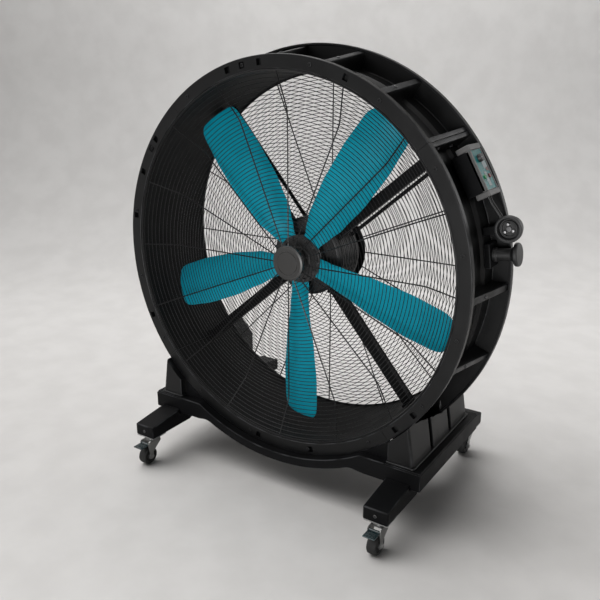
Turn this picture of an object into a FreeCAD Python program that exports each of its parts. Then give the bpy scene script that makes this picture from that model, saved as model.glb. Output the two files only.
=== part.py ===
"""Portable drum fan on casters, as a parametric assembly of separate pieces.

World frame, millimetres: +X to the right, front towards -Y, +Z up, origin on the floor straight below the
middle of the drum. The fan axis runs along Y at axis_height. Pieces round that axis are drawn in the fan
frame (x to the right, y up, z towards the front) and stood up by fan_frame().
"""
import FreeCAD
import Part
import math
import os
import Sketcher

from types import SimpleNamespace
from FreeCAD import Placement, Rotation, Vector

doc = FreeCAD.newDocument("PortableFan")
sheet = doc.addObject("Spreadsheet::Sheet", "sizes")

# Driving sizes: name, value in mm or degrees, what it measures
SIZES = [
    ("fit_gap", 0.3, "gap between curved or loosely seated neighbours"),
    ("run_gap", 0.05, "radial clearance of running fits"),
    # drum
    ("drum_bore", 748, "inner radius of the drum barrel"),
    ("drum_wall", 8, "wall of the drum moulding"),
    ("drum_depth", 300, "front rim face to rear rim face"),
    ("rim_front", 800, "outer radius of the front rim"),
    ("rim_rear", 845, "outer radius of the rear rim"),
    ("drum_clearance", 113, "rear rim above the floor"),
    ("rim_lip", 25, "depth of the lip that both rims turn back"),
    ("collar_depth", 130, "rear collar behind the rear rim"),
    ("barrel_step", 12, "height of the raised band beside the rear rim"),
    ("barrel_step_width", 78, "width of the raised band beside the rear rim"),
    ("seam_angle", 40, "first seam between two segments, from +X towards up"),
    ("rib_pitch", 18, "angle between cross ribs"),
    ("rib_width", 26, "tangential width of a cross rib"),
    ("rib_drop", 9, "rib crest below the rim edges"),
    ("seam_rib_width", 18, "width of the rib at each end of a segment"),
    ("right_rib_low", -21, "lower cross rib of the right segment"),
    ("right_rib_mid", -1, "upper cross rib of the right segment"),
    ("seam_bolt_radius", 4, "shank radius of the seam bolts"),
    ("seam_bolt_head", 7, "head radius of the seam bolts"),
    ("seam_bolt_head_height", 5, "head height of the seam bolts"),
    ("seam_bolt_depth", 22, "seam bolt axis above the barrel"),
    ("seam_bolt_spread", 60, "seam bolts in front of and behind the drum middle"),
    # guards
    ("guard_ring_wire", 4, "diameter of the concentric guard wires"),
    ("guard_radial_wire", 6, "diameter of the radial guard wires"),
    ("guard_hoop_wire", 8, "diameter of the guard's outer hoop"),
    ("guard_pitch", 15, "spacing of the concentric wires"),
    ("guard_radials", 16, "number of radial wires"),
    ("guard_face", 70, "flat face of the front guard in front of the drum middle"),
    ("guard_flat", 600, "radius of the flat face of the front guard"),
    ("guard_weld_gap", 0.4, "concentric wires clear of the radial wires"),
    ("guard_weld_sink", 0.6, "wires of the guard's skirt sunk into each other"),
    ("guard_hoop_inset", 6, "front hoop behind the front rim face"),
    ("cap_radius", 72, "centre cap of the front guard"),
    ("cap_thickness", 16, "thickness of the centre cap"),
    ("cap_groove_radius", 46, "ring groove of the centre cap"),
    ("cap_groove_width", 4, "width of the ring groove"),
    ("cap_groove_depth", 2.5, "depth of the ring groove"),
    ("cap_chamfer", 4, "chamfer of the cap's front edge"),
    ("rear_guard_inset", 12, "rear guard in front of the collar's end"),
    ("rear_plate_radius", 170, "centre plate of the rear guard"),
    ("rear_plate_thickness", 4, "thickness of that plate"),
    ("guard_screw_head", 7, "head radius of the guard screws"),
    ("guard_screw_height", 4, "head height of the guard screws"),
    ("guard_screw_inset", 26, "guard screws inside the front rim's edge"),
    # struts and motor
    ("strut_width", 46, "width of a strut arm"),
    ("strut_thickness", 22, "depth of a strut arm along the axis"),
    ("strut_setback", 100, "front of the strut arms behind the drum middle"),
    ("stay_wire", 16, "diameter of the stay behind each arm"),
    ("stay_setback", 190, "stay behind the drum middle"),
    ("stay_shift", 25, "stay beside the arm's centre line, clockwise"),
    ("motor_radius", 165, "outer radius of the motor housing"),
    ("motor_front", 62, "front of the motor housing behind the drum middle"),
    ("motor_length", 150, "length of the motor housing"),
    ("motor_wall", 8, "wall of the motor housing"),
    ("motor_cover", 12, "thickness of the rear cover"),
    ("bearing_outer", 26, "outer radius of the bearings"),
    ("bearing_width", 15, "width of the bearings"),
    ("shaft_radius", 12.5, "radius of the shaft"),
    ("stator_inner", 118, "inner radius of the stator"),
    ("stator_length", 46, "length of the stator"),
    ("core_rim", 20, "radial depth of the rotor core's rim"),
    ("core_web", 14, "thickness of the rotor core's web"),
    ("core_boss", 30, "radius of the rotor core's boss"),
    ("air_gap", 0.8, "gap between the rotor core and the stator"),
    ("motor_bolt_circle", 148, "radius of the cover bolts' circle"),
    ("motor_bolt_head", 7, "head radius of the cover bolts"),
    ("motor_bolt_height", 5, "head height of the cover bolts"),
    # hub and blades
    ("hub_radius", 100, "radius of the hub plate and the clamp plate"),
    ("hub_plate", 12, "thickness of the hub plate"),
    ("hub_boss", 34, "radius of the hub boss"),
    ("hub_setback", 22, "front of the hub plate behind the drum middle"),
    ("hub_boss_gap", 4, "gap between hub boss and motor housing"),
    ("clamp_plate", 8, "thickness of the clamp plate"),
    ("shaft_nut_radius", 20, "radius of the shaft's end nut"),
    ("shaft_nut_height", 12, "height of the shaft's end nut"),
    ("blade_phase", 55, "angle of the first blade, from +X towards up"),
    ("blade_tip", 700, "tip radius of the blades"),
    ("blade_tab", 8, "thickness of the blade root tab"),
    ("blade_tab_inner", 64, "inner end of the root tab"),
    ("blade_tab_width", 82, "width of the root tab"),
    ("blade_root_chord", 108, "chord near the hub"),
    ("blade_wide_chord", 196, "widest chord"),
    ("blade_tip_chord", 158, "chord just inside the rounded tip"),
    ("blade_root_pitch", 30, "pitch near the hub"),
    ("blade_tip_pitch", 17, "pitch at the tip"),
    ("blade_root_gap", 4, "start of the twisted blade outside the hub plate"),
    ("blade_skin", 6, "thickness of the blade"),
    ("blade_camber", 0.085, "camber as a share of the chord"),
    ("blade_bolt_circle", 84, "distance of the blade bolts from the axis"),
    ("blade_bolt_spread", 22, "blade bolts to both sides of the blade's centre line"),
    ("blade_bolt_radius", 5, "shank radius of the blade bolts"),
    ("blade_bolt_head", 8.5, "head radius of the blade bolts"),
    ("blade_bolt_height", 6, "head height of the blade bolts"),
    # base
    ("deck_half_width", 671, "side deck's outer face from the middle"),
    ("deck_inner", 515, "side deck's inner face from the middle"),
    ("deck_front", 190, "deck front in front of the drum middle"),
    ("deck_rear", 415, "deck rear behind the drum middle"),
    ("deck_top", 270, "deck top above the floor"),
    ("deck_height", 76, "height of the deck's side walls"),
    ("deck_wall", 5, "wall of the deck channel"),
    ("cradle_band", 40, "thickness of the cradle under the drum"),
    ("cradle_depth", 65, "depth of a cradle beam along the axis"),
    ("cradle_setback", 40, "rear cradle beam behind the rear rim"),
    ("cradle_shoulder", 371, "start of a cradle's level ends from the middle"),
    ("web_setback", 40, "cradle's web behind the front of its beam"),
    ("web_thickness", 10, "thickness of a cradle's web"),
    ("pillar_inner", 526, "pillar's inner face from the middle"),
    ("pillar_width", 110, "pillar's width at the deck"),
    ("pillar_lean", 42, "lean of the outer face over the pillar's full height"),
    ("pillar_height", 260, "pillar block before the drum's seat is cut"),
    ("pillar_front_inset", 12, "pillar's front face behind the deck's"),
    ("pillar_rear_inset", 45, "pillar's rear face in front of the deck's"),
    ("pillar_wall", 14, "wall of the pillar moulding"),
    ("pillar_foot", 8, "height of the bead round the pillar's foot"),
    ("pillar_foot_lip", 7, "overhang of that bead"),
    ("pillar_groove", 26, "width of the two grooves in the outer face"),
    ("pillar_groove_depth", 10, "depth of these grooves"),
    # legs and casters
    ("leg_centre", 580, "leg centre line from the middle"),
    ("leg_width", 104, "width of a leg"),
    ("leg_reach", 180, "leg nose beyond the deck's end face"),
    ("leg_tuck", 120, "length of the leg under the deck"),
    ("leg_bottom", 135, "underside of the legs above the floor"),
    ("leg_nose_height", 54, "height of the nose face"),
    ("leg_root_rise", 18, "leg top above the deck's lower edge at its end face"),
    ("leg_knee", 78, "bend of the leg's top from the deck's end face"),
    ("leg_knee_rise", 2, "bend above the mean of the leg's root and nose"),
    ("leg_wall", 7, "wall of the leg casting"),
    ("nose_screw_head", 7, "head radius of the nose screw"),
    ("nose_screw_height", 3, "head height of the nose screw"),
    ("caster_inset", 43, "swivel axis inside the leg's nose"),
    ("caster_trail", 32, "axle in front of the swivel axis"),
    ("wheel_radius", 40, "radius of a caster wheel"),
    ("wheel_width", 40, "width of the tread"),
    ("wheel_hub_width", 44, "width of the wheel hub"),
    ("wheel_hub_radius", 16, "radius of the wheel hub"),
    ("wheel_web", 26, "thickness of the wheel between hub and tread"),
    ("wheel_draft", 2, "slope of the wheel's hub and tread sides"),
    ("tread_depth", 11, "radial depth of the tread"),
    ("tread_bevel", 5, "bevel of the tread's edges"),
    ("axle_radius", 5, "radius of the caster axle"),
    ("axle_head", 9, "radius of the axle's heads"),
    ("axle_head_height", 5, "height of the axle's heads"),
    ("fork_gap", 2, "gap between wheel hub and fork cheek"),
    ("fork_sheet", 3, "sheet of the fork"),
    ("fork_bridge", 4, "thickness of the fork's bridge"),
    ("fork_edge", 2, "bridge's rear edge inside the race"),
    ("fork_top", 112, "top of the fork's bridge above the floor"),
    ("fork_boss", 15, "half width of a cheek round the axle"),
    ("race_radius", 28, "radius of the swivel race"),
    ("race_split", 121, "split between the turning and the fixed race"),
    ("plate_thickness", 4, "thickness of the caster's top plate"),
    ("plate_width", 100, "width of the caster's top plate across the leg"),
    ("plate_length", 84, "length of the caster's top plate along the leg"),
    ("king_pin", 6, "radius of the king pin"),
    ("king_nut", 11, "radius of the king pin's nut"),
    ("king_nut_height", 7, "height of that nut"),
    ("pedal_pivot_y", 42, "brake pedal's pivot in front of the swivel axis"),
    ("pedal_pivot_z", 99, "brake pedal's pivot above the floor"),
    ("pedal_pin", 3, "radius of the pedal's pin"),
    ("pedal_barrel", 7, "radius of the pedal's barrel"),
    ("pedal_reach", 50, "pedal's front edge in front of its pivot"),
    ("pedal_width", 50, "width of the pedal's tread"),
    ("pedal_sheet", 5, "thickness of the pedal's tread"),
    # controls
    ("box_angle", 29.5, "control box on the drum, from +X towards up"),
    ("box_length", 150, "control box along the rim"),
    ("box_front", 8, "front of the control box behind the drum middle"),
    ("box_depth", 106, "control box along the axis"),
    ("box_height", 69.7, "control box above its seat on the drum"),
    ("box_wall", 4, "wall of the control box"),
    ("panel_thickness", 4, "thickness of the control panel"),
    ("end_cap", 20, "length of an end cap"),
    ("end_cap_height", 52, "height of an end cap"),
    ("end_cap_rise", 4, "end caps above the panel"),
    ("knob_radius", 15, "radius of the speed knob"),
    ("knob_height", 14, "height of the speed knob"),
    ("knob_stem", 4, "radius of the knob's stem"),
    ("knob_shift", 40, "knob from the panel's middle, along the rim"),
    ("button_radius", 8, "radius of a push button"),
    ("button_height", 6, "button above the panel"),
    ("button_collar", 10, "radius of the collar that keeps a button in"),
    ("button_collar_height", 2, "thickness of that collar"),
    ("button_shift", 28, "buttons from the panel's middle, along the rim"),
    ("button_spread", 22, "buttons to both sides of the panel's middle line"),
    ("stem_length", 12, "knob and button stems behind the panel"),
    ("module_length", 120, "drive module along the rim"),
    ("module_depth", 80, "drive module along the axis"),
    ("module_height", 34, "height of the drive module"),
    ("inlet_angle", 14.4, "power inlet on the drum, from +X towards up"),
    ("inlet_centre", 868, "power inlet's axis from the fan axis"),
    ("inlet_radius", 48, "radius of the power inlet"),
    ("inlet_front", 42, "face of the power inlet behind the drum middle"),
    ("inlet_length", 52, "length of the power inlet"),
    ("inlet_recess", 36, "radius of the inlet's recess"),
    ("inlet_recess_depth", 22, "depth of the inlet's recess"),
    ("inlet_pin", 5, "radius of the inlet's pins"),
    ("inlet_pin_circle", 17, "circle of the inlet's pins"),
    ("inlet_pin_length", 15, "length of the inlet's pins"),
    ("inlet_bracket_width", 31, "width of the bracket under the inlet"),
    ("inlet_bracket_depth", 24, "depth of that bracket along the axis"),
    ("post_angle", 7.9, "cord post on the drum, from +X towards up"),
    ("post_setback", 96, "cord post's axis behind the drum middle"),
    ("post_reach", 885, "end of the cord post from the fan axis"),
    ("post_radius", 26, "radius of the cord post"),
    ("post_flange", 43, "radius of the post's end flange"),
    ("post_flange_thickness", 14, "thickness of that flange"),
    ("post_bracket_height", 22, "height of the bracket under the post"),
    ("post_bracket_width", 90, "width of that bracket along the rim"),
    ("post_bracket_depth", 76, "depth of that bracket along the axis"),
    ("lead_radius", 4, "radius of a lead"),
    ("lead_spread", 9, "leads to both sides of their middle line"),
    ("lead_bend", 24, "bend radius of the leads"),
]
for row, (name, value, note) in enumerate(SIZES, start=1):
    sheet.set(f"A{row}", note)
    sheet.set(f"B{row}", str(value))
    sheet.setAlias(f"B{row}", name)
doc.recompute()


class Term:
    """A length or angle that knows its value and the sheet expression that gives it."""

    def __init__(self, value, text):
        self.value = float(value)
        self.text = text

    def __float__(self):
        return self.value

    def __add__(self, other):
        return Term(self.value + float(other), f"({self.text} + {written(other)})")

    def __radd__(self, other):
        return Term(float(other) + self.value, f"({written(other)} + {self.text})")

    def __sub__(self, other):
        return Term(self.value - float(other), f"({self.text} - {written(other)})")

    def __rsub__(self, other):
        return Term(float(other) - self.value, f"({written(other)} - {self.text})")

    def __mul__(self, other):
        return Term(self.value * float(other), f"({self.text} * {written(other)})")

    __rmul__ = __mul__

    def __truediv__(self, other):
        return Term(self.value / float(other), f"({self.text} / {written(other)})")

    def __neg__(self):
        return Term(-self.value, f"(0 - {self.text})")


def written(number):
    """The expression of a term or of a plain number."""
    return number.text if isinstance(number, Term) else f"({float(number)!r})"


def root_of_squares(long_side, short_side):
    """The other side of a right triangle, from its longest side and one short side."""
    value = math.sqrt(float(long_side) ** 2 - float(short_side) ** 2)
    return Term(value, f"sqrt({written(long_side)}^2 - {written(short_side)}^2)")


def cosine(angle):
    return Term(math.cos(math.radians(float(angle))), f"cos({written(angle)})")


def sine(angle):
    return Term(math.sin(math.radians(float(angle))), f"sin({written(angle)})")


s = SimpleNamespace(**{name: Term(sheet.get(name), f"sizes.{name}") for name, value, note in SIZES})
axis_height = s.rim_rear + s.drum_clearance
SIDES = ((1, "right"), (-1, "left"))
FULL_TURN = 360
QUARTER_TURN = 90
QUARTERS = ("right", "top", "left", "bottom")
nodes = {}


def bind(thing, **properties):
    """Tie properties of a document object to terms; Base_x stands for Placement.Base.x."""
    for key, term in properties.items():
        path = f"Placement.Base.{key[-1]}" if key.startswith("Base_") else key
        thing.setExpression(path, written(term))
    return thing


def keep(name, thing):
    """Register a finished piece under its node name."""
    thing.Label = name
    nodes[name] = thing
    return thing


def fan_frame(thing, angle=0):
    """Stand a piece that was drawn in the fan frame up on the fan axis, turned by an angle."""
    turn = Rotation(Vector(1, 0, 0), 90) * Rotation(Vector(0, 0, 1), float(angle))
    thing.Placement = Placement(Vector(0, 0, float(axis_height)), turn)
    return bind(thing, Base_z=axis_height)


def block(name, x, y, z):
    """A box between two terms along each axis."""
    box = doc.addObject("Part::Box", name)
    bind(box, Length=x[1] - x[0], Width=y[1] - y[0], Height=z[1] - z[0])
    return bind(box, Base_x=x[0], Base_y=y[0], Base_z=z[0])


def rod(name, radius, start, length, axis="z"):
    """A cylinder from a start point along +x, +y or +z."""
    cylinder = doc.addObject("Part::Cylinder", name)
    turns = {"x": Rotation(Vector(0, 1, 0), 90), "y": Rotation(Vector(1, 0, 0), -90), "z": Rotation()}
    cylinder.Placement = Placement(Vector(0, 0, 0), turns[axis])
    bind(cylinder, Radius=radius, Height=length)
    return bind(cylinder, Base_x=start[0], Base_y=start[1], Base_z=start[2])


def around(thing, radius, angle, height=0):
    """Turn a piece about z by an angle and carry it out to a radius."""
    thing.Placement.Rotation = Rotation(Vector(0, 0, 1), float(angle)) * thing.Placement.Rotation
    return bind(thing, Base_x=radius * cosine(angle), Base_y=radius * sine(angle), Base_z=height)


def fuse(name, pieces):
    union = doc.addObject("Part::MultiFuse", name)
    union.Shapes = pieces
    return union


def cut(name, base, tools):
    remainder = doc.addObject("Part::Cut", name)
    remainder.Base = base
    remainder.Tool = tools[0] if len(tools) == 1 else fuse(name + "_tools", tools)
    return remainder


def common(name, first, second):
    overlap = doc.addObject("Part::Common", name)
    overlap.Base = first
    overlap.Tool = second
    return overlap


def group(name, pieces):
    """Separate solids that share one node."""
    together = doc.addObject("Part::Compound", name)
    together.Links = pieces
    return together


def shape(name, solid):
    """A piece whose form has no primitive."""
    feature = doc.addObject("Part::Feature", name)
    feature.Shape = solid
    return feature


def bent_tube(points, radius, bend):
    """A round tube along straight runs, with a tangent arc of one bend radius at each corner."""
    edges = []
    start = points[0]
    for before, corner, after in zip(points, points[1:], points[2:]):
        inward = (before - corner).normalize()
        onward = (after - corner).normalize()
        half_turn = (math.pi - inward.getAngle(onward)) / 2
        setback = float(bend) * math.tan(half_turn)
        middle_way = (inward + onward).normalize()
        enter = corner + inward * setback
        leave = corner + onward * setback
        middle = corner + middle_way * (float(bend) / math.cos(half_turn) - float(bend))
        edges.append(Part.LineSegment(start, enter).toShape())
        edges.append(Part.Arc(enter, middle, leave).toShape())
        start = leave
    edges.append(Part.LineSegment(start, points[-1]).toShape())
    section = Part.Circle(points[0], points[1] - points[0], float(radius)).toShape()
    return Part.Wire(edges).makePipeShell([Part.Wire([section])], True, True)


def outline(body, plane, points):
    """A closed sketch through points given as pairs of terms, on an origin plane of its body."""
    sketch = body.newObject("Sketcher::SketchObject", body.Name + "_outline")
    origin = [item for item in body.Origin.OriginFeatures if item.Role == plane][0]
    sketch.AttachmentSupport = [(origin, "")]
    sketch.MapMode = "FlatFace"
    corners = [Vector(float(x), float(y), 0) for x, y in points]
    count = len(corners)
    for index, corner in enumerate(corners):
        sketch.addGeometry(Part.LineSegment(corner, corners[(index + 1) % count]), False)
    for index in range(count):
        sketch.addConstraint(Sketcher.Constraint("Coincident", index, 2, (index + 1) % count, 1))
    for index, (x, y) in enumerate(points):
        for kind, term in (("DistanceX", x), ("DistanceY", y)):
            place = sketch.addConstraint(Sketcher.Constraint(kind, -1, 1, index, 1, float(term)))
            if isinstance(term, Term):
                sketch.setExpression(f"Constraints[{place}]", term.text)
    return sketch


def turned(name, points, angle=FULL_TURN):
    """A body of revolution about z; points are pairs of radius and height."""
    body = doc.addObject("PartDesign::Body", name)
    sketch = outline(body, "XZ_Plane", points)
    revolution = body.newObject("PartDesign::Revolution", name + "_revolution")
    revolution.Profile = sketch
    revolution.ReferenceAxis = (sketch, ["V_Axis"])
    bind(revolution, Angle=angle)
    sketch.Visibility = False
    body.Tip = revolution
    return body


def padded(name, plane, points, length):
    """A body with an outline on an origin plane, carried half its length to both sides."""
    body = doc.addObject("PartDesign::Body", name)
    sketch = outline(body, plane, points)
    pad = body.newObject("PartDesign::Pad", name + "_pad")
    pad.Profile = sketch
    pad.SideType = "Symmetric"
    bind(pad, Length=length)
    body.Tip = pad
    return body


HEXAGON_FLAT = math.cos(math.radians(30))


def hexagon(radius, wire, height):
    """Section of a ring wire as pairs of radius and height; six corners keep a guard light."""
    turns = [math.radians(60 * corner) for corner in range(6)]
    return [(radius + wire / 2 * math.cos(turn), height + wire / 2 * math.sin(turn)) for turn in turns]


def hoop(name, radius, wire, height):
    """A wire ring about z."""
    return turned(name, hexagon(radius, wire, height))


# Drum: four moulded quarter segments
half_depth = s.drum_depth / 2
barrel = s.drum_bore + s.drum_wall
band = barrel + s.barrel_step
collar_end = -(half_depth + s.collar_depth)
inner_half = half_depth - s.drum_wall


def segment_shell(name):
    """Quarter of the channel section: front rim, recessed barrel, raised band, rear rim and collar."""
    band_start = s.barrel_step_width - inner_half
    section = [
        (s.drum_bore, half_depth),
        (s.rim_front, half_depth),
        (s.rim_front, half_depth - s.rim_lip),
        (s.rim_front - s.drum_wall, half_depth - s.rim_lip),
        (s.rim_front - s.drum_wall, inner_half),
        (barrel, inner_half),
        (barrel, band_start + s.barrel_step),
        (band, band_start),
        (band, -inner_half),
        (s.rim_rear - s.drum_wall, -inner_half),
        (s.rim_rear - s.drum_wall, s.rim_lip - half_depth),
        (s.rim_rear, s.rim_lip - half_depth),
        (s.rim_rear, -half_depth),
        (barrel, -half_depth),
        (barrel, collar_end),
        (s.drum_bore, collar_end),
    ]
    seam_gap = s.fit_gap / s.rim_front * (180 / math.pi)
    return turned(name, section, QUARTER_TURN - seam_gap)


def cross_rib(name, width, angle, shift):
    """A rib between the two rims whose crest rises from the front rim to the rear rim."""
    wedge = doc.addObject("Part::Wedge", name)
    sink = s.drum_wall / 2
    bind(wedge, Xmin=s.drum_bore + sink, Xmax=s.rim_rear - s.rib_drop, Ymin=-(inner_half + sink))
    bind(wedge, X2min=s.drum_bore + sink, X2max=s.rim_front - s.rib_drop, Ymax=inner_half + sink)
    low = shift - width / 2
    high = shift + width / 2
    bind(wedge, Zmin=low, Zmax=high, Z2min=low, Z2max=high)
    turn = Rotation(Vector(0, 0, 1), float(angle)) * Rotation(Vector(1, 0, 0), 90)
    wedge.Placement = Placement(Vector(0, 0, 0), turn)
    return wedge


def drum_segment(side, start, rib_angles):
    """One segment from its seam angle onwards, with ribs at angles counted from that seam."""
    name = f"drum_segment_{side}"
    seam_shift = s.seam_rib_width / 2 + s.fit_gap
    seam_gap = s.fit_gap / s.rim_front * (180 / math.pi)
    pieces = [segment_shell(name + "_shell")]
    pieces.append(cross_rib(name + "_rib_first", s.seam_rib_width, 0, -seam_shift))
    pieces.append(cross_rib(name + "_rib_last", s.seam_rib_width, QUARTER_TURN - seam_gap, seam_shift))
    for index, angle in enumerate(rib_angles):
        pieces.append(cross_rib(f"{name}_rib_{index}", s.rib_width, angle, 0))
    holes = []
    for turn in (0, QUARTER_TURN):
        for spread in (1, -1):
            hole = rod(
                f"{name}_hole_{turn}_{spread}", s.seam_bolt_radius + s.fit_gap,
                (barrel + s.seam_bolt_depth, -3 * s.seam_rib_width, spread * s.seam_bolt_spread),
                6 * s.seam_rib_width, "y",
            )
            if turn:
                hole.Placement.Rotation = Rotation(Vector(0, 0, 1), turn) * hole.Placement.Rotation
                bind(hole, Base_x=3 * s.seam_rib_width, Base_y=barrel + s.seam_bolt_depth)
            holes.append(hole)
    return keep(name, fan_frame(cut(name, fuse(name + "_solid", pieces), holes), start))


regular_ribs = [s.rib_pitch * count for count in range(1, int(QUARTER_TURN / float(s.rib_pitch)))]
for quarter, side in enumerate(QUARTERS):
    start = s.seam_angle + QUARTER_TURN * (quarter - 1)
    ribs = [s.right_rib_low - start, s.right_rib_mid - start] if side == "right" else regular_ribs
    drum_segment(side, start, ribs)

# Bolts of the seams, drawn along the tangent at each seam
over_reach = s.seam_rib_width + s.fit_gap
under_reach = over_reach + s.fit_gap
bolts = []
for quarter in range(4):
    for spread in (1, -1):
        name = f"seam_bolt_{quarter}_{spread}"
        place = (barrel + s.seam_bolt_depth, -under_reach, spread * s.seam_bolt_spread)
        shank = rod(name + "_shank", s.seam_bolt_radius, place, under_reach + over_reach, "y")
        below = (place[0], -under_reach - s.seam_bolt_head_height, place[2])
        above = (place[0], over_reach, place[2])
        heads = [rod(name + "_head", s.seam_bolt_head, below, s.seam_bolt_head_height, "y")]
        heads.append(rod(name + "_nut", s.seam_bolt_head, above, s.seam_bolt_head_height, "y"))
        bolt = fuse(name, [shank] + heads)
        seam = float(s.seam_angle) + QUARTER_TURN * quarter
        bolt.Placement = Placement(Vector(0, 0, 0), Rotation(Vector(0, 0, 1), seam))
        bolts.append(bolt)
seam_bolts = fan_frame(group("seam_bolts", bolts))

# Front guard: a flat face of wires, and a sloping skirt of welded sectors that ends in the hoop
hoop_radius = s.drum_bore - s.fit_gap - s.guard_hoop_wire / 2
rim_height = half_depth - s.guard_hoop_inset
radial_end = hoop_radius - s.guard_hoop_wire / 2 - s.fit_gap
slope_run = hoop_radius - s.guard_flat
slope_rise = rim_height - s.guard_face
slope = math.atan2(float(slope_rise), float(slope_run))
flat_lift = (s.guard_ring_wire * HEXAGON_FLAT + s.guard_radial_wire) / 2 + s.guard_weld_gap
radial_count = int(float(s.guard_radials))
radial_step = FULL_TURN / radial_count
ring_count = int((float(radial_end) - float(s.cap_radius)) / float(s.guard_pitch))
ring_radii = [s.cap_radius + s.guard_pitch * index for index in range(1, ring_count + 1)]
face_radii = [radius for radius in ring_radii if float(radius) <= float(s.guard_flat)]
skirt_radii = ring_radii[len(face_radii):]

face_wires = []
face_start = s.cap_radius + s.fit_gap
for index in range(radial_count):
    radial = rod(f"face_radial_{index}", s.guard_radial_wire / 2, (0, 0, 0), s.guard_flat - face_start, "x")
    face_wires.append(around(radial, face_start, radial_step * index, s.guard_face))
for index, radius in enumerate(face_radii):
    face_wires.append(hoop(f"face_ring_{index}", radius, s.guard_ring_wire, s.guard_face + flat_lift))
keep("front_guard", fan_frame(group("front_guard", face_wires)))


def wire_arc(radius, wire, height):
    """One sector's arc of a ring wire, centred on its radial wire."""
    span = radial_step - math.degrees(float(s.fit_gap) / float(hoop_radius))
    corners = [Vector(float(x), 0, float(z)) for x, z in hexagon(radius, wire, height)]
    section = Part.Face(Part.makePolygon(corners + corners[:1]))
    section.rotate(Vector(0, 0, 0), Vector(0, 0, 1), -span / 2)
    return section.revolve(Vector(0, 0, 0), Vector(0, 0, 1), span)


def skirt_sector():
    """The sloping end of a radial wire with its arcs of ring wire and of the hoop, as one weldment."""
    uphill = Vector(math.cos(slope), 0, math.sin(slope))
    stub_radius = float(s.guard_radial_wire) / 2
    corner = Vector(float(s.guard_flat), 0, float(s.guard_face))
    foot = corner + uphill * (stub_radius * math.tan(slope) + float(s.fit_gap))
    tip = Vector(float(hoop_radius), 0, float(rim_height))
    stub = Part.makeCylinder(stub_radius, (tip - foot).Length, foot, uphill)
    lift = (flat_lift - s.guard_weld_gap - s.guard_weld_sink) / math.cos(slope)
    arcs = [wire_arc(hoop_radius, s.guard_hoop_wire, rim_height)]
    for radius in skirt_radii:
        climb = (radius - s.guard_flat) * slope_rise / slope_run
        arcs.append(wire_arc(radius, s.guard_ring_wire, s.guard_face + climb + lift))
    return stub.fuse(arcs)


sector = skirt_sector()
sectors = []
for index in range(radial_count):
    piece = shape(f"skirt_sector_{index}", sector.copy())
    piece.Placement = Placement(Vector(0, 0, 0), Rotation(Vector(0, 0, 1), radial_step * index))
    sectors.append(piece)
keep("front_guard_skirt", fan_frame(group("front_guard_skirt", sectors)))

cap_back = s.guard_face - s.cap_thickness / 2
cap_front = s.guard_face + s.cap_thickness / 2
groove_floor = cap_front - s.cap_groove_depth
cap = turned("guard_centre_cap", [
    (0, cap_back),
    (s.cap_radius, cap_back),
    (s.cap_radius, cap_front - s.cap_chamfer),
    (s.cap_radius - s.cap_chamfer, cap_front),
    (s.cap_groove_radius + s.cap_groove_width, cap_front),
    (s.cap_groove_radius + s.cap_groove_width, groove_floor),
    (s.cap_groove_radius, groove_floor),
    (s.cap_groove_radius, cap_front),
    (0, cap_front),
])
keep("guard_centre_cap", fan_frame(cap))

screws = []
for index in range(radial_count):
    screw = rod(f"guard_screw_{index}", s.guard_screw_head, (0, 0, 0), s.guard_screw_height)
    angle = radial_step * (index + 0.5)
    screws.append(around(screw, s.rim_front - s.guard_screw_inset, angle, half_depth))
keep("guard_screws", fan_frame(group("guard_screws", screws)))

# Rear guard: flat, inside the collar
rear_height = collar_end + s.rear_guard_inset
rear_wires = []
rear_start = s.rear_plate_radius + s.fit_gap
for index in range(radial_count):
    name = f"rear_radial_{index}"
    radial = rod(name, s.guard_radial_wire / 2, (0, 0, 0), radial_end - rear_start, "x")
    rear_wires.append(around(radial, rear_start, radial_step * index, rear_height))
for index in range(1, int((float(radial_end) - float(s.rear_plate_radius)) / float(s.guard_pitch)) + 1):
    radius = s.rear_plate_radius + s.guard_pitch * index
    rear_wires.append(hoop(f"rear_ring_{index}", radius, s.guard_ring_wire, rear_height - flat_lift))
rear_wires.append(hoop("rear_hoop", hoop_radius, s.guard_hoop_wire, rear_height))
plate_start = (0, 0, rear_height - s.rear_plate_thickness / 2)
rear_wires.append(rod("rear_plate", s.rear_plate_radius, plate_start, s.rear_plate_thickness))
keep("rear_guard", fan_frame(group("rear_guard", rear_wires)))

# Struts from the motor to the barrel
strut_start = s.motor_radius + s.fit_gap
arm_end = root_of_squares(s.drum_bore - s.fit_gap, s.strut_width / 2)
stay_begin = root_of_squares(strut_start, s.stay_shift - s.stay_wire / 2)
stay_end = root_of_squares(s.drum_bore - s.fit_gap, s.stay_shift + s.stay_wire / 2)
STRUTS = ("upper_right", "upper_left", "lower_left", "lower_right")
for index, corner in enumerate(STRUTS):
    name = f"strut_{corner}"
    arm = block(
        name + "_arm", (strut_start, arm_end), (-s.strut_width / 2, s.strut_width / 2),
        (-s.strut_setback - s.strut_thickness, -s.strut_setback),
    )
    stay_start = (stay_begin, -s.stay_shift, -s.stay_setback)
    stay = rod(name + "_stay", s.stay_wire / 2, stay_start, stay_end - stay_begin, "x")
    keep(name, fan_frame(group(name, [arm, stay]), s.seam_angle + QUARTER_TURN * index))

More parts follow.
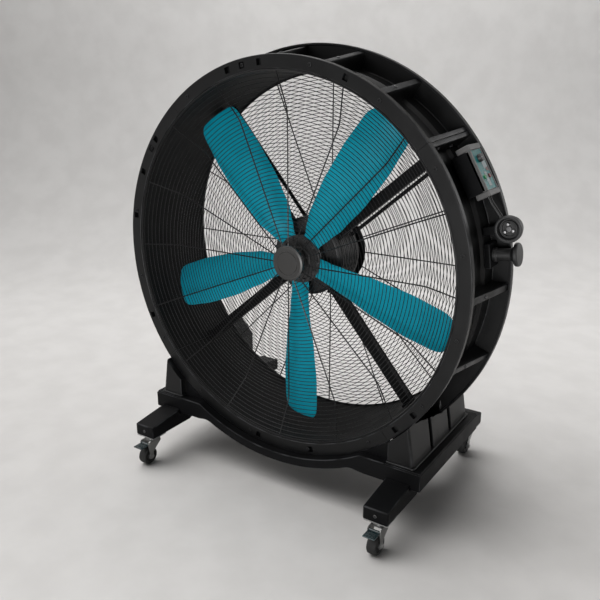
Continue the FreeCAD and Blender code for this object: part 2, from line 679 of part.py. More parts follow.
# Motor: housing, rear cover, bearings and stator
motor_back = -(s.motor_front + s.motor_length)
housing_bore = s.motor_radius - s.motor_wall
bearing_seat = s.bearing_outer + s.run_gap
boss_radius = s.bearing_outer + s.motor_wall
front_seat = -s.motor_front - s.bearing_width
keep("motor_housing", fan_frame(turned("motor_housing", [
    (bearing_seat, -s.motor_front),
    (s.motor_radius - s.motor_wall, -s.motor_front),
    (s.motor_radius, -s.motor_front - s.motor_wall),
    (s.motor_radius, motor_back),
    (housing_bore, motor_back),
    (housing_bore, -s.motor_front - s.motor_wall),
    (boss_radius, -s.motor_front - s.motor_wall),
    (boss_radius, front_seat),
    (bearing_seat, front_seat),
])))
rear_seat = motor_back + s.bearing_width
keep("motor_rear_cover", fan_frame(turned("motor_rear_cover", [
    (0, motor_back - s.motor_cover),
    (s.motor_radius, motor_back - s.motor_cover),
    (s.motor_radius, motor_back),
    (boss_radius, motor_back),
    (boss_radius, rear_seat),
    (bearing_seat, rear_seat),
    (bearing_seat, motor_back),
    (0, motor_back),
])))
bearing_bore = s.shaft_radius + s.run_gap
bearings = []
for name, seat in (("front_bearing", front_seat), ("rear_bearing", motor_back)):
    ring = rod(name + "_ring", s.bearing_outer, (0, 0, seat), s.bearing_width)
    bearings.append(cut(name, ring, [rod(name + "_bore", bearing_bore, (0, 0, seat), s.bearing_width)]))
keep("motor_bearings", fan_frame(group("motor_bearings", bearings)))
stator_back = (front_seat + rear_seat) / 2 - s.stator_length / 2
stator = rod("stator_ring", housing_bore - s.run_gap, (0, 0, stator_back), s.stator_length)
stator_bore = rod("stator_bore", s.stator_inner, (0, 0, stator_back), s.stator_length)
keep("motor_stator", fan_frame(cut("motor_stator", stator, [stator_bore])))

motor_bolt_count = 8
cover_bolts = []
for index in range(motor_bolt_count):
    bolt = rod(f"cover_bolt_{index}", s.motor_bolt_head, (0, 0, 0), s.motor_bolt_height)
    angle = FULL_TURN / motor_bolt_count * index
    below = motor_back - s.motor_cover - s.motor_bolt_height
    cover_bolts.append(around(bolt, s.motor_bolt_circle, angle, below))
cover_bolts = fan_frame(group("cover_bolts", cover_bolts))

# Rotor: shaft, core, hub plate, blades, clamp plate and bolts
hub_front = -s.hub_setback
hub_back = hub_front - s.hub_plate
boss_back = -s.motor_front + s.hub_boss_gap
clamp_back = hub_front + s.blade_tab
clamp_front = clamp_back + s.clamp_plate
hub_bore = s.shaft_radius + s.run_gap
nut_front = clamp_front + s.shaft_nut_height
keep("shaft", fan_frame(turned("shaft", [
    (0, motor_back + s.fit_gap),
    (s.shaft_radius, motor_back + s.fit_gap),
    (s.shaft_radius, clamp_front),
    (s.shaft_nut_radius, clamp_front),
    (s.shaft_nut_radius, nut_front),
    (0, nut_front),
])))
core_front = stator_back + s.stator_length
core_middle = stator_back + s.stator_length / 2
core_outer = s.stator_inner - s.air_gap
core_inner = core_outer - s.core_rim
web_back = core_middle - s.core_web / 2
web_front = core_middle + s.core_web / 2
keep("rotor_core", fan_frame(turned("rotor_core", [
    (hub_bore, stator_back),
    (s.core_boss, stator_back),
    (s.core_boss, web_back),
    (core_inner, web_back),
    (core_inner, stator_back),
    (core_outer, stator_back),
    (core_outer, core_front),
    (core_inner, core_front),
    (core_inner, web_front),
    (s.core_boss, web_front),
    (s.core_boss, core_front),
    (hub_bore, core_front),
])))

BLADES = 5
BLADE_STEP = FULL_TURN / BLADES


def bolt_rods(name, radius, start, length):
    """One rod at each blade bolt."""
    rods = []
    for blade in range(BLADES):
        for side in (1, -1):
            piece = rod(f"{name}_{blade}_{side}", radius, (0, 0, 0), length)
            angle = s.blade_phase + BLADE_STEP * blade
            across = side * s.blade_bolt_spread
            x = s.blade_bolt_circle * cosine(angle) - across * sine(angle)
            y = s.blade_bolt_circle * sine(angle) + across * cosine(angle)
            rods.append(bind(piece, Base_x=x, Base_y=y, Base_z=start))
    return rods


hole_radius = s.blade_bolt_radius + s.run_gap
hub = turned("hub_blank", [
    (hub_bore, hub_front),
    (s.hub_radius, hub_front),
    (s.hub_radius, hub_back),
    (s.hub_boss, hub_back),
    (s.hub_boss, boss_back),
    (hub_bore, boss_back),
])
hub_holes = bolt_rods("hub_hole", hole_radius, hub_back, s.hub_plate)
keep("rotor_hub", fan_frame(cut("rotor_hub", hub, hub_holes)))
clamp = turned("clamp_blank", [
    (hub_bore, clamp_back),
    (s.hub_radius, clamp_back),
    (s.hub_radius, clamp_front),
    (hub_bore, clamp_front),
])
clamp_holes = bolt_rods("clamp_hole", hole_radius, clamp_back, s.clamp_plate)
keep("blade_clamp", fan_frame(cut("blade_clamp", clamp, clamp_holes)))
grip = clamp_front - hub_back
shanks = bolt_rods("blade_bolt_shank", s.blade_bolt_radius, hub_back, grip)
heads = bolt_rods("blade_bolt_head", s.blade_bolt_head, clamp_front, s.blade_bolt_height)
nuts = bolt_rods("blade_bolt_nut", s.blade_bolt_head, hub_back - s.blade_bolt_height, s.blade_bolt_height)
blade_bolts = [fuse(f"blade_bolt_{i}", list(three)) for i, three in enumerate(zip(shanks, heads, nuts))]
keep("blade_bolts", fan_frame(group("blade_bolts", blade_bolts)))

blade_level = float(hub_front + s.blade_tab / 2)


def blade_section(radius, chord, pitch):
    """Thin cambered section across the blade: two arcs and two short end edges."""
    half = chord / 2
    sag = chord * float(s.blade_camber)
    skin = float(s.blade_skin) / 2
    lean = math.radians(pitch)

    def point(across, lift):
        y = across * math.cos(lean) - lift * math.sin(lean)
        z = across * math.sin(lean) + lift * math.cos(lean)
        return Vector(radius, y, blade_level + z)

    corners = [point(-half, -skin), point(half, -skin), point(half, skin), point(-half, skin)]
    lower = Part.Arc(corners[0], point(0, sag - skin), corners[1]).toShape()
    upper = Part.Arc(corners[2], point(0, sag + skin), corners[3]).toShape()
    trailing = Part.LineSegment(corners[1], corners[2]).toShape()
    leading = Part.LineSegment(corners[3], corners[0]).toShape()
    return Part.Wire([lower, trailing, upper, leading])


def blade_solid():
    """Root tab and a lofted blade that twists, widens and rounds off at its tip.

    Each station is a share of the span, a chord and a pitch.
    """
    root = float(s.hub_radius + s.blade_root_gap)
    tip = float(s.blade_tip)
    span = tip - root
    root_chord = float(s.blade_root_chord)
    wide = float(s.blade_wide_chord)
    tip_chord = float(s.blade_tip_chord)
    steep = float(s.blade_root_pitch)
    flat = float(s.blade_tip_pitch)
    tab_width = float(s.blade_tab_width)
    stations = [
        (0.0, tab_width, 0.0),
        (0.10, root_chord, steep * 0.8),
        (0.24, (root_chord + wide) / 2, steep),
        (0.48, wide * 0.96, (steep + flat) / 2),
        (0.72, wide, flat * 0.9 + steep * 0.1),
        (0.90, tip_chord * 1.12, flat),
        (0.97, tip_chord, flat),
        (1.0, tip_chord * 0.72, flat),
    ]
    sections = [blade_section(root + share * span, chord, pitch) for share, chord, pitch in stations]
    vane = Part.makeLoft(sections, True, False)
    length = root - float(s.blade_tab_inner)
    thick = float(s.blade_tab)
    corner = Vector(float(s.blade_tab_inner), -tab_width / 2, blade_level - thick / 2)
    tab = Part.makeBox(length, tab_width, thick, corner)
    whole = tab.fuse(vane)
    for side in (1, -1):
        across = side * float(s.blade_bolt_spread)
        centre = Vector(float(s.blade_bolt_circle), across, blade_level - thick)
        whole = whole.cut(Part.makeCylinder(float(hole_radius), 2 * thick, centre))
    return whole.removeSplitter()


vane_shape = blade_solid()
for index in range(BLADES):
    blade = shape(f"blade_{index + 1}", vane_shape.copy())
    keep(f"blade_{index + 1}", fan_frame(blade, s.blade_phase + BLADE_STEP * index))

# Base: what the drum takes up, used to seat the pillars and the cradle beams
seat_front = s.rim_front + s.fit_gap
seat_rear = s.rim_rear + s.fit_gap
seat_collar = barrel + s.fit_gap


def drum_seat(name, extra=0):
    """Envelope of the drum: front rim, cone over the ribs, rear rim and collar, carried past the base."""
    front_end = s.deck_front * 2
    rear_end = -s.deck_rear * 2
    lip_front = half_depth - s.rim_lip
    rim_back = -(half_depth + s.fit_gap + extra)
    seat = turned(name, [
        (0, front_end),
        (seat_front + extra, front_end),
        (seat_front + extra, lip_front),
        (seat_rear + extra, -lip_front),
        (seat_rear + extra, rim_back),
        (seat_collar + extra, rim_back),
        (seat_collar + extra, rear_end),
        (0, rear_end),
    ])
    return fan_frame(seat)


deck_bottom = s.deck_top - s.deck_height


def mirrored(side, low, high):
    """A span along x on the right, or its mirror image on the left."""
    return (low, high) if side > 0 else (-high, -low)


for side, word in SIDES:
    name = f"base_side_{word}"
    outer_x = mirrored(side, s.deck_inner, s.deck_half_width)
    outer = block(name + "_outer", outer_x, (-s.deck_front, s.deck_rear), (deck_bottom, s.deck_top))
    hollow_x = mirrored(side, s.deck_inner + s.deck_wall, s.deck_half_width - s.deck_wall)
    hollow = block(name + "_hollow", hollow_x, (s.deck_wall - s.deck_front, s.deck_rear - s.deck_wall),
                   (deck_bottom - s.deck_wall, s.deck_top - s.deck_wall))
    keep(name, cut(name, outer, [hollow]))

for name, seat, start in (("cradle_front", seat_front, -s.deck_front),
                          ("cradle_rear", seat_collar, half_depth + s.cradle_setback)):
    span_x = (-s.deck_inner, s.deck_inner)
    span_y = (start, start + s.cradle_depth)
    belly_z = (axis_height - seat - 2 * s.cradle_band, s.deck_top)
    belly = block(name + "_belly", span_x, span_y, belly_z)
    rounding = rod(name + "_round", seat + s.cradle_band, (0, start, axis_height), s.cradle_depth, "y")
    ends = []
    for side, word in SIDES:
        end_x = mirrored(side, s.cradle_shoulder, s.deck_inner)
        ends.append(block(f"{name}_end_{word}", end_x, span_y, (deck_bottom, s.deck_top)))
        web_end = s.pillar_inner - s.pillar_foot_lip - s.fit_gap
        web_x = mirrored(side, s.cradle_shoulder, web_end)
        web_y = (start + s.web_setback, start + s.web_setback + s.web_thickness)
        web_z = (s.deck_top, axis_height - root_of_squares(seat, web_end))
        ends.append(block(f"{name}_web_{word}", web_x, web_y, web_z))
    beam = fuse(name + "_beam", [common(name + "_arc", belly, rounding)] + ends)
    keep(name, cut(name, beam, [drum_seat(name + "_seat")]))


def pillar(side, word):
    """Hollow moulding with a leaning outer face, grooves, a foot bead and a seat cut by the drum."""
    name = f"pillar_{word}"
    foot_top = s.deck_top + s.pillar_foot
    top = s.deck_top + s.pillar_height
    outer = s.pillar_inner + s.pillar_width
    front = s.pillar_front_inset - s.deck_front
    rear = s.deck_rear - s.pillar_rear_inset
    length = rear - front

    def leaning(label, inner_x, outer_x, low, middle, span):
        """A block with leaning side faces, each given by its place at deck level and at the top."""
        corners = [(inner_x[0], low), (outer_x[0], low), (outer_x[1], top), (inner_x[1], top)]
        body = padded(label, "XZ_Plane", [(side * x, z) for x, z in corners], span)
        return bind(body, Base_y=middle)

    def shell(label, inset, low, span):
        """The pillar's outer form, or its hollow with an inset."""
        inner_x = s.pillar_inner + inset
        outer_x = outer - inset
        lean_x = (outer_x, outer_x - s.pillar_lean)
        return leaning(label, (inner_x, inner_x), lean_x, low, (front + rear) / 2, span)

    grooves = []
    for index in (1, 2):
        floor_x = outer - s.pillar_groove_depth
        outside_x = outer + s.pillar_foot_lip
        grooves.append(leaning(
            f"{name}_groove_{index}", (floor_x, floor_x - s.pillar_lean), (outside_x, outside_x), s.deck_top,
            front + length * index / 3, s.pillar_groove,
        ))
    solid = cut(name + "_grooved", shell(name + "_outer", 0, s.deck_top, length), grooves)
    lip = s.pillar_foot_lip
    foot_x = mirrored(side, s.pillar_inner - lip, outer + lip)
    foot = block(name + "_foot", foot_x, (front - lip, rear + lip), (s.deck_top, foot_top))
    hollow = shell(name + "_hollow", s.pillar_wall, s.deck_top - s.pillar_wall, length - 2 * s.pillar_wall)
    hollow = cut(name + "_cavity", hollow, [drum_seat(name + "_cavity_seat", s.pillar_wall)])
    tools = [drum_seat(name + "_seat"), hollow]
    return keep(name, cut(name, fuse(name + "_blank", [solid, foot]), tools))


for side, word in SIDES:
    pillar(side, word)

# Legs: hollow castings from under the deck to a nose beyond its end faces
nose_top = s.leg_bottom + s.leg_nose_height
root_top = deck_bottom + s.leg_root_rise
ENDS = (("front", -1), ("rear", 1))


def leg_places():
    """Name, x of the centre line, y of the deck's end face and outward direction of each leg."""
    for end, way in ENDS:
        face = -s.deck_front if way < 0 else s.deck_rear
        for side, word in SIDES:
            yield f"{end}_{word}", side * s.leg_centre, face, way


def leg_solid(name, inset):
    """Side outline of a leg, with y outwards from the deck's end face; inset draws its hollow."""
    knee_top = (root_top + nose_top) / 2 + s.leg_knee_rise
    return padded(name, "YZ_Plane", [
        (inset - s.leg_tuck, deck_bottom - inset),
        (0, deck_bottom - inset),
        (0, root_top - inset),
        (s.leg_knee, knee_top - inset),
        (s.leg_reach - inset, nose_top - inset),
        (s.leg_reach - inset, s.leg_bottom - inset),
        (inset + s.leg_nose_height - s.leg_tuck, s.leg_bottom - inset),
        (inset - s.leg_tuck, s.leg_bottom + s.leg_nose_height / 2 - inset),
    ], s.leg_width - 2 * inset)


nose_screws = []
for name, centre, face, way in leg_places():
    hollow = leg_solid(f"leg_{name}_hollow", s.leg_wall)
    leg = cut(f"leg_{name}", leg_solid(f"leg_{name}_outer", 0), [hollow])
    turn = Rotation(Vector(0, 0, 1), 180 if way < 0 else 0)
    leg.Placement = Placement(Vector(0, 0, 0), turn)
    keep(f"leg_{name}", bind(leg, Base_x=centre, Base_y=face))
    nose = face + way * s.leg_reach
    start = nose - s.nose_screw_height if way < 0 else nose
    place = (centre, start, s.leg_bottom + s.leg_nose_height / 2)
    nose_screws.append(rod(f"nose_screw_{name}", s.nose_screw_head, place, s.nose_screw_height, "y"))
keep("frame_bolts", group("frame_bolts", [seam_bolts, cover_bolts] + nose_screws))

# Casters: fixed plates with king pins, turning forks, wheels and brake pedals
cheek_inner = s.wheel_hub_width / 2 + s.fork_gap
cheek_outer = cheek_inner + s.fork_sheet
bridge_bottom = s.fork_top - s.fork_bridge
plate_bottom = s.leg_bottom - s.plate_thickness
pin_hole = s.king_pin + s.run_gap
axle_y = -s.caster_trail
axle_z = s.wheel_radius


def caster_plate(name):
    """Top plate under the leg, fixed race, king pin and its nut below the fork's bridge."""
    plate_x = (-s.plate_width / 2, s.plate_width / 2)
    plate_y = (-s.plate_length / 2, s.plate_length / 2)
    plate = block(name + "_plate", plate_x, plate_y, (plate_bottom, s.leg_bottom))
    race = rod(name + "_race", s.race_radius, (0, 0, s.race_split), plate_bottom - s.race_split)
    nut_bottom = bridge_bottom - s.fit_gap - s.king_nut_height
    pin = rod(name + "_pin", s.king_pin, (0, 0, nut_bottom), s.race_split - nut_bottom)
    nut = rod(name + "_nut", s.king_nut, (0, 0, nut_bottom), s.king_nut_height)
    return fuse(name, [plate, race, pin, nut])


def caster_fork(name, braked):
    """Two cheeks, a bridge with the turning race, the axle, and the pedal's pin on a braked caster."""
    cheek_back = s.race_radius - s.fork_edge
    front_top = -(s.pedal_pivot_y + s.pedal_barrel) if braked else -s.race_radius
    cheek = [
        (cheek_back, s.fork_top),
        (front_top, s.fork_top),
        (front_top, s.pedal_pivot_z - s.pedal_barrel),
        (axle_y - s.fork_boss, axle_z + s.fork_boss / 2),
        (axle_y - s.fork_boss / 2, axle_z - s.fork_boss),
        (axle_y + s.fork_boss / 2, axle_z - s.fork_boss),
        (axle_y + s.fork_boss, axle_z + s.fork_boss / 2),
        (cheek_back, bridge_bottom - s.fork_boss),
    ]
    sides = []
    for side, word in SIDES:
        sheet_body = padded(f"{name}_cheek_{word}", "YZ_Plane", cheek, s.fork_sheet)
        sides.append(bind(sheet_body, Base_x=side * (cheek_inner + s.fork_sheet / 2)))
    bridge_y = (-s.race_radius, cheek_back)
    bridge = block(name + "_bridge", (-cheek_outer, cheek_outer), bridge_y, (bridge_bottom, s.fork_top))
    race = rod(name + "_race", s.race_radius, (0, 0, s.fork_top), s.race_split - s.fit_gap - s.fork_top)
    axle = rod(name + "_axle", s.axle_radius, (-cheek_outer, axle_y, axle_z), 2 * cheek_outer, "x")
    pieces = sides + [bridge, race, axle]
    for side, start in ((1, cheek_outer), (-1, -(cheek_outer + s.axle_head_height))):
        head = rod(f"{name}_head_{side + 1}", s.axle_head, (start, axle_y, axle_z), s.axle_head_height, "x")
        pieces.append(head)
    if braked:
        pin_start = (-cheek_outer, -s.pedal_pivot_y, s.pedal_pivot_z)
        pieces.append(rod(name + "_pedal_pin", s.pedal_pin, pin_start, 2 * cheek_outer, "x"))
    hole = rod(name + "_pin_hole", pin_hole, (0, 0, bridge_bottom), s.race_split - bridge_bottom)
    return cut(name, fuse(name + "_solid", pieces), [hole])


def caster_wheel(name):
    """Wheel of revolution with a rounded tread and a dished side; drawn about z and laid along x."""
    half_hub = s.wheel_hub_width / 2
    half_tread = s.wheel_width / 2
    half_web = s.wheel_web / 2
    tread_inner = s.wheel_radius - s.tread_depth
    side = [
        (s.axle_radius + s.run_gap, half_hub),
        (s.wheel_hub_radius, half_hub),
        (s.wheel_hub_radius + s.wheel_draft, half_web),
        (tread_inner - s.wheel_draft, half_web),
        (tread_inner, half_tread),
        (s.wheel_radius - s.tread_bevel, half_tread),
        (s.wheel_radius, half_tread - s.tread_bevel),
    ]
    return turned(name, side + [(radius, -height) for radius, height in reversed(side)])


def brake_pedal(name):
    """Barrel on the pedal pin, an arm between the cheeks and a wide tread in front of them."""
    half_barrel = cheek_inner - s.fit_gap
    low = s.pedal_pivot_z - s.pedal_sheet / 2
    front = -(s.pedal_pivot_y + s.pedal_reach)
    tread_back = -(s.pedal_pivot_y + s.pedal_barrel + s.fork_gap)
    barrel_start = (-half_barrel, -s.pedal_pivot_y, s.pedal_pivot_z)
    pieces = [rod(name + "_barrel", s.pedal_barrel, barrel_start, 2 * half_barrel, "x")]
    sheet_z = (low, low + s.pedal_sheet)
    arm_y = (tread_back, -s.pedal_pivot_y)
    pieces.append(block(name + "_arm", (-half_barrel, half_barrel), arm_y, sheet_z))
    half_tread = s.pedal_width / 2
    pieces.append(block(name + "_tread", (-half_tread, half_tread), (front, tread_back), sheet_z))
    bore = rod(name + "_bore", s.pedal_pin + s.run_gap, barrel_start, 2 * half_barrel, "x")
    return cut(name, fuse(name + "_solid", pieces), [bore])


plates = []
for name, centre, face, way in leg_places():
    swivel_y = face + way * (s.leg_reach - s.caster_inset)
    plates.append(bind(caster_plate(f"caster_plate_{name}"), Base_x=centre, Base_y=swivel_y))
    braked = way < 0
    fork = caster_fork(f"caster_fork_{name}", braked)
    keep(f"caster_fork_{name}", bind(fork, Base_x=centre, Base_y=swivel_y))
    wheel = caster_wheel(f"caster_wheel_{name}")
    wheel.Placement = Placement(Vector(0, 0, 0), Rotation(Vector(0, 1, 0), 90))
    keep(f"caster_wheel_{name}", bind(wheel, Base_x=centre, Base_y=swivel_y + axle_y, Base_z=axle_z))
    if braked:
        pedal = brake_pedal(f"brake_pedal_{name}")
        keep(f"brake_pedal_{name}", bind(pedal, Base_x=centre, Base_y=swivel_y))
keep("caster_plates", group("caster_plates", plates))

# Controls: box frame with x away from the fan axis, y along the rim and z towards the front
box_floor = band + s.fit_gap
box_crest = box_floor + s.box_height
box_back = -(s.box_front + s.box_depth)
box_y = (-s.box_length / 2, s.box_length / 2)
box_z = (box_back, -s.box_front)
panel_top = box_crest + s.panel_thickness
box_shell = block("box_shell", (box_floor, box_crest), box_y, box_z)
box_room = block(
    "box_room", (box_floor + s.box_wall, box_crest + s.box_wall),
    (box_y[0] + s.box_wall, box_y[1] - s.box_wall), (box_z[0] + s.box_wall, box_z[1] - s.box_wall),
)
keep("control_box", fan_frame(cut("control_box", box_shell, [box_room]), s.box_angle))

panel_middle = (box_z[0] + box_z[1]) / 2
stem_start = box_crest - s.stem_length
panel_holes = []


def panel_rod(name, radius, along, level, low, high):
    """A rod through the panel, between two heights above the fan axis."""
    return rod(name, radius, (low, along, level), high - low, "x")


knob_place = (s.knob_shift, panel_middle)
knob_top = panel_top + s.knob_height
knob = fuse("speed_knob", [
    panel_rod("knob_spindle", s.knob_stem, *knob_place, stem_start, knob_top),
    panel_rod("knob_cap", s.knob_radius, *knob_place, panel_top + s.fit_gap, knob_top),
])
keep("speed_knob", fan_frame(knob, s.box_angle))
panel_holes.append(panel_rod("knob_hole", s.knob_stem + s.run_gap, *knob_place, box_crest, panel_top))
for name, side in (("start_button", 1), ("stop_button", -1)):
    place = (-s.button_shift, panel_middle + side * s.button_spread)
    button = fuse(name, [
        panel_rod(name + "_stem", s.button_radius, *place, stem_start, panel_top + s.button_height),
        panel_rod(name + "_collar", s.button_collar, *place, stem_start, stem_start + s.button_collar_height),
    ])
    keep(name, fan_frame(button, s.box_angle))
    hole = panel_rod(name + "_hole", s.button_radius + s.run_gap, *place, box_crest, panel_top)
    panel_holes.append(hole)
panel_blank = block("panel_blank", (box_crest, panel_top), box_y, box_z)
keep("control_panel", fan_frame(cut("control_panel", panel_blank, panel_holes), s.box_angle))

cap_x = (panel_top + s.end_cap_rise - s.end_cap_height, panel_top + s.end_cap_rise)
caps = [
    block("end_cap_upper", cap_x, (box_y[1], box_y[1] + s.end_cap), box_z),
    block("end_cap_lower", cap_x, (box_y[0] - s.end_cap, box_y[0]), box_z),
]
keep("control_end_caps", fan_frame(group("control_end_caps", caps), s.box_angle))
module_floor = box_floor + s.box_wall
module = block(
    "drive_module", (module_floor, module_floor + s.module_height),
    (-s.module_length / 2, s.module_length / 2),
    (panel_middle - s.module_depth / 2, panel_middle + s.module_depth / 2),
)
keep("drive_module", fan_frame(group("drive_module_seat", [module]), s.box_angle))

# Power inlet and cord post on brackets, drawn with x through their own angle
inlet_start = (s.inlet_centre, 0, -(s.inlet_front + s.inlet_length))
inlet_body = rod("inlet_body", s.inlet_radius, inlet_start, s.inlet_length)
recess_floor = -(s.inlet_front + s.inlet_recess_depth)
recess = rod("inlet_recess_cut", s.inlet_recess, (s.inlet_centre, 0, recess_floor), s.inlet_recess_depth)
inlet_pins = []
for index in range(3):
    turn = FULL_TURN / 3 * index + 90
    x = s.inlet_centre + s.inlet_pin_circle * math.cos(math.radians(turn))
    y = s.inlet_pin_circle * math.sin(math.radians(turn))
    inlet_pins.append(rod(f"inlet_pin_{index}", s.inlet_pin, (x, y, recess_floor), s.inlet_pin_length))
inlet = fuse("power_inlet", [cut("inlet_cup", inlet_body, [recess])] + inlet_pins)
keep("power_inlet", fan_frame(inlet, s.inlet_angle))

bracket_floor = band + s.fit_gap
bracket_crest = bracket_floor + s.post_bracket_height
post_start = (bracket_crest + s.fit_gap, 0, -s.post_setback)
flange_start = (s.post_reach - s.post_flange_thickness, 0, -s.post_setback)
post_rod = rod("post_rod", s.post_radius, post_start, flange_start[0] - post_start[0], "x")
flange = rod("post_flange", s.post_flange, flange_start, s.post_flange_thickness, "x")
keep("cord_post", fan_frame(fuse("cord_post", [post_rod, flange]), s.post_angle))

inlet_bracket = block(
    "inlet_bracket", (bracket_floor, s.inlet_centre - s.inlet_radius - s.fit_gap),
    (-s.inlet_bracket_width / 2, s.inlet_bracket_width / 2),
    (-(s.inlet_front + s.inlet_length), s.inlet_bracket_depth - s.inlet_front - s.inlet_length),
)
post_bracket = block(
    "post_bracket", (bracket_floor, bracket_crest),
    (-s.post_bracket_width / 2, s.post_bracket_width / 2),
    (-s.post_setback - s.post_bracket_depth / 2, s.post_bracket_depth / 2 - s.post_setback),
)
inlet_side = fan_frame(group("inlet_side", [inlet_bracket]), s.inlet_angle)
post_side = fan_frame(group("post_side", [post_bracket]), s.post_angle)
keep("side_brackets", group("side_brackets", [inlet_side, post_side]))


def lead(side):
    """A lead from the lower end cap down along the rim and in to the inlet's body."""
    turn = math.radians(float(s.box_angle - s.inlet_angle))
    level = float(panel_middle) + side * float(s.lead_spread)
    start = Vector(float(cap_x[0] + s.end_cap_height / 2), float(box_y[0] - s.end_cap), level)
    corner = start - Vector(0, float(s.lead_bend), 0)
    centre = Vector(float(s.inlet_centre) * math.cos(turn), -float(s.inlet_centre) * math.sin(turn), level)
    inward = centre - corner
    end = corner + inward * (1 - (float(s.inlet_radius) + float(s.fit_gap)) / inward.Length)
    return bent_tube([start, corner, end], s.lead_radius, s.lead_bend)


lead_shapes = [shape(f"lead_{side + 1}", lead(side)) for side in (-1, 1)]
keep("control_leads", fan_frame(group("control_leads", lead_shapes), s.box_angle))

doc.recompute()
faults = []
for thing in doc.Objects:
    if "Invalid" in thing.State or "Error" in thing.State:
        faults.append(f"{thing.Name} {thing.State}")
for name, thing in nodes.items():
    if thing.Shape.isNull() or not thing.Shape.isValid() or not thing.Shape.Solids:
        faults.append(f"{name} has no valid solid")
if faults:
    raise RuntimeError("; ".join(faults))
os.makedirs("parts", exist_ok=True)
for name, thing in nodes.items():
    thing.Shape.exportStep(f"parts/{name}.step")
    box = thing.Shape.BoundBox
    volume = thing.Shape.Volume / 1000
    print(f"{name}: {len(thing.Shape.Solids)} solids, {volume:.1f} cm3, x {box.XMin:.1f}..{box.XMax:.1f}, "
          f"y {box.YMin:.1f}..{box.YMax:.1f}, z {box.ZMin:.1f}..{box.ZMax:.1f}")
print(len(nodes), "nodes")
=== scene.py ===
# %% [markdown]
# # A portable drum fan, dressed in Blender
# The fan comes in as plain solids at their real size: a moulded ring in four quarters, wire guards, a
# rotor, a motor on four struts and a wheeled base. This lesson gives every solid the rounded edges and the
# finish of the real one. All shapes are surfaces computed with numpy, in metres, in the frame of the solids.

# %% Load the solids
import math

import bmesh
import bpy
import numpy as np
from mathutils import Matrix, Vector


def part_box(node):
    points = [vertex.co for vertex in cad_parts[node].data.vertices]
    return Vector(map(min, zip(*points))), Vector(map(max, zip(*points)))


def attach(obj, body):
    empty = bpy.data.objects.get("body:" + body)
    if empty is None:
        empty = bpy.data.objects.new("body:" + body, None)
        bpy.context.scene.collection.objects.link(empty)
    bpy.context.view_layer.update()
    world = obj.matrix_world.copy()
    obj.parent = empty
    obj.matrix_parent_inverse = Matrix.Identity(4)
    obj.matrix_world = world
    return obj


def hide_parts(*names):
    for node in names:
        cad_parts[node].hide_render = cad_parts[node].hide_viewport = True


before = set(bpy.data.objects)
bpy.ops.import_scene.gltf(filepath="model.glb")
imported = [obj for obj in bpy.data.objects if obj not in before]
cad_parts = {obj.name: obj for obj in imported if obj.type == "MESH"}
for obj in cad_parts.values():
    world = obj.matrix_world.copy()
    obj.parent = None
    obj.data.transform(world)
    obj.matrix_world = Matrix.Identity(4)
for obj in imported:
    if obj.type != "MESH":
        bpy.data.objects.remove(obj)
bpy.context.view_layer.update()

# %% [markdown]
# ## Places
# Nearly everything sits round the fan axis, which runs along Y. A place is an origin with three directions:
# u and v span the plane of an outline, w is the direction it is carried along. The fan's main sizes are
# read from the solids, so that each new surface lands on the piece it stands for.

# %% Places round the fan axis
X, Y, Z = np.eye(3)


def node_span(node, letter):
    """Lowest and highest coordinate of a solid along x, y or z."""
    low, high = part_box(node)
    return getattr(low, letter), getattr(high, letter)


def faces_of(node):
    """Front and back face of a solid as heights along w, which points to the front: minus y."""
    low, high = node_span(node, "y")
    return -low, -high


def place(origin, u, v, w):
    """An origin and the three directions of a local frame."""
    return np.asarray(origin, float), np.stack([u, v, w]).astype(float)


def put(local, where):
    """Local coordinates (..., 3) carried into the world: origin + u U + v V + w W."""
    origin, axes = where
    return origin + np.asarray(local) @ axes


def moved(where, local):
    """The same directions with their origin at a local point."""
    return place(put(local, where), *where[1])


def facing_out(where, local):
    """At a local point, with w along the old u: for pieces that stand on the drum."""
    u, v, w = where[1]
    return place(put(local, where), v, w, u)


def facing_back(where, local):
    """At a local point, turned over about u: v and w are reversed."""
    u, v, w = where[1]
    return place(put(local, where), u, -v, -w)


FIT_GAP = 0.0003
AXIS_HEIGHT = sum(node_span("shaft", "z")) / 2
BORE = node_span("front_guard_skirt", "x")[1] + FIT_GAP


def radial_place(angle):
    """On the fan axis: u points outwards at an angle in degrees, v along the rim, w to the front."""
    turn = math.radians(angle)
    outward = math.cos(turn) * X + math.sin(turn) * Z
    along = -math.sin(turn) * X + math.cos(turn) * Z
    return place(AXIS_HEIGHT * Z, outward, along, -Y)


FAN = radial_place(0)
print("fan axis at", round(AXIS_HEIGHT, 4), "bore radius", round(BORE, 4))

# %% [markdown]
# ## Surfaces
# Real mouldings and sheet metal have no perfectly sharp edge, and the thin highlight along a rounded edge
# is what makes a black object readable. So each outline gets arcs at its corners, and each extrusion is
# drawn in by a quarter circle at its ends. A Bevel modifier could do it too, but then no point would know
# that it lies on an edge. Here each point keeps such a mark, which the finishes use for wear and for a
# painted highlight: a paler colour along the edges.

# %% Outlines with rounded corners
CORNER_STEPS = 4
LARGEST_SETBACK = 0.49
LEAST_MARKED = 2e-4


def unit(vectors):
    """Vectors divided by their length."""
    return vectors / np.maximum(np.linalg.norm(vectors, axis=-1, keepdims=True), 1e-9)


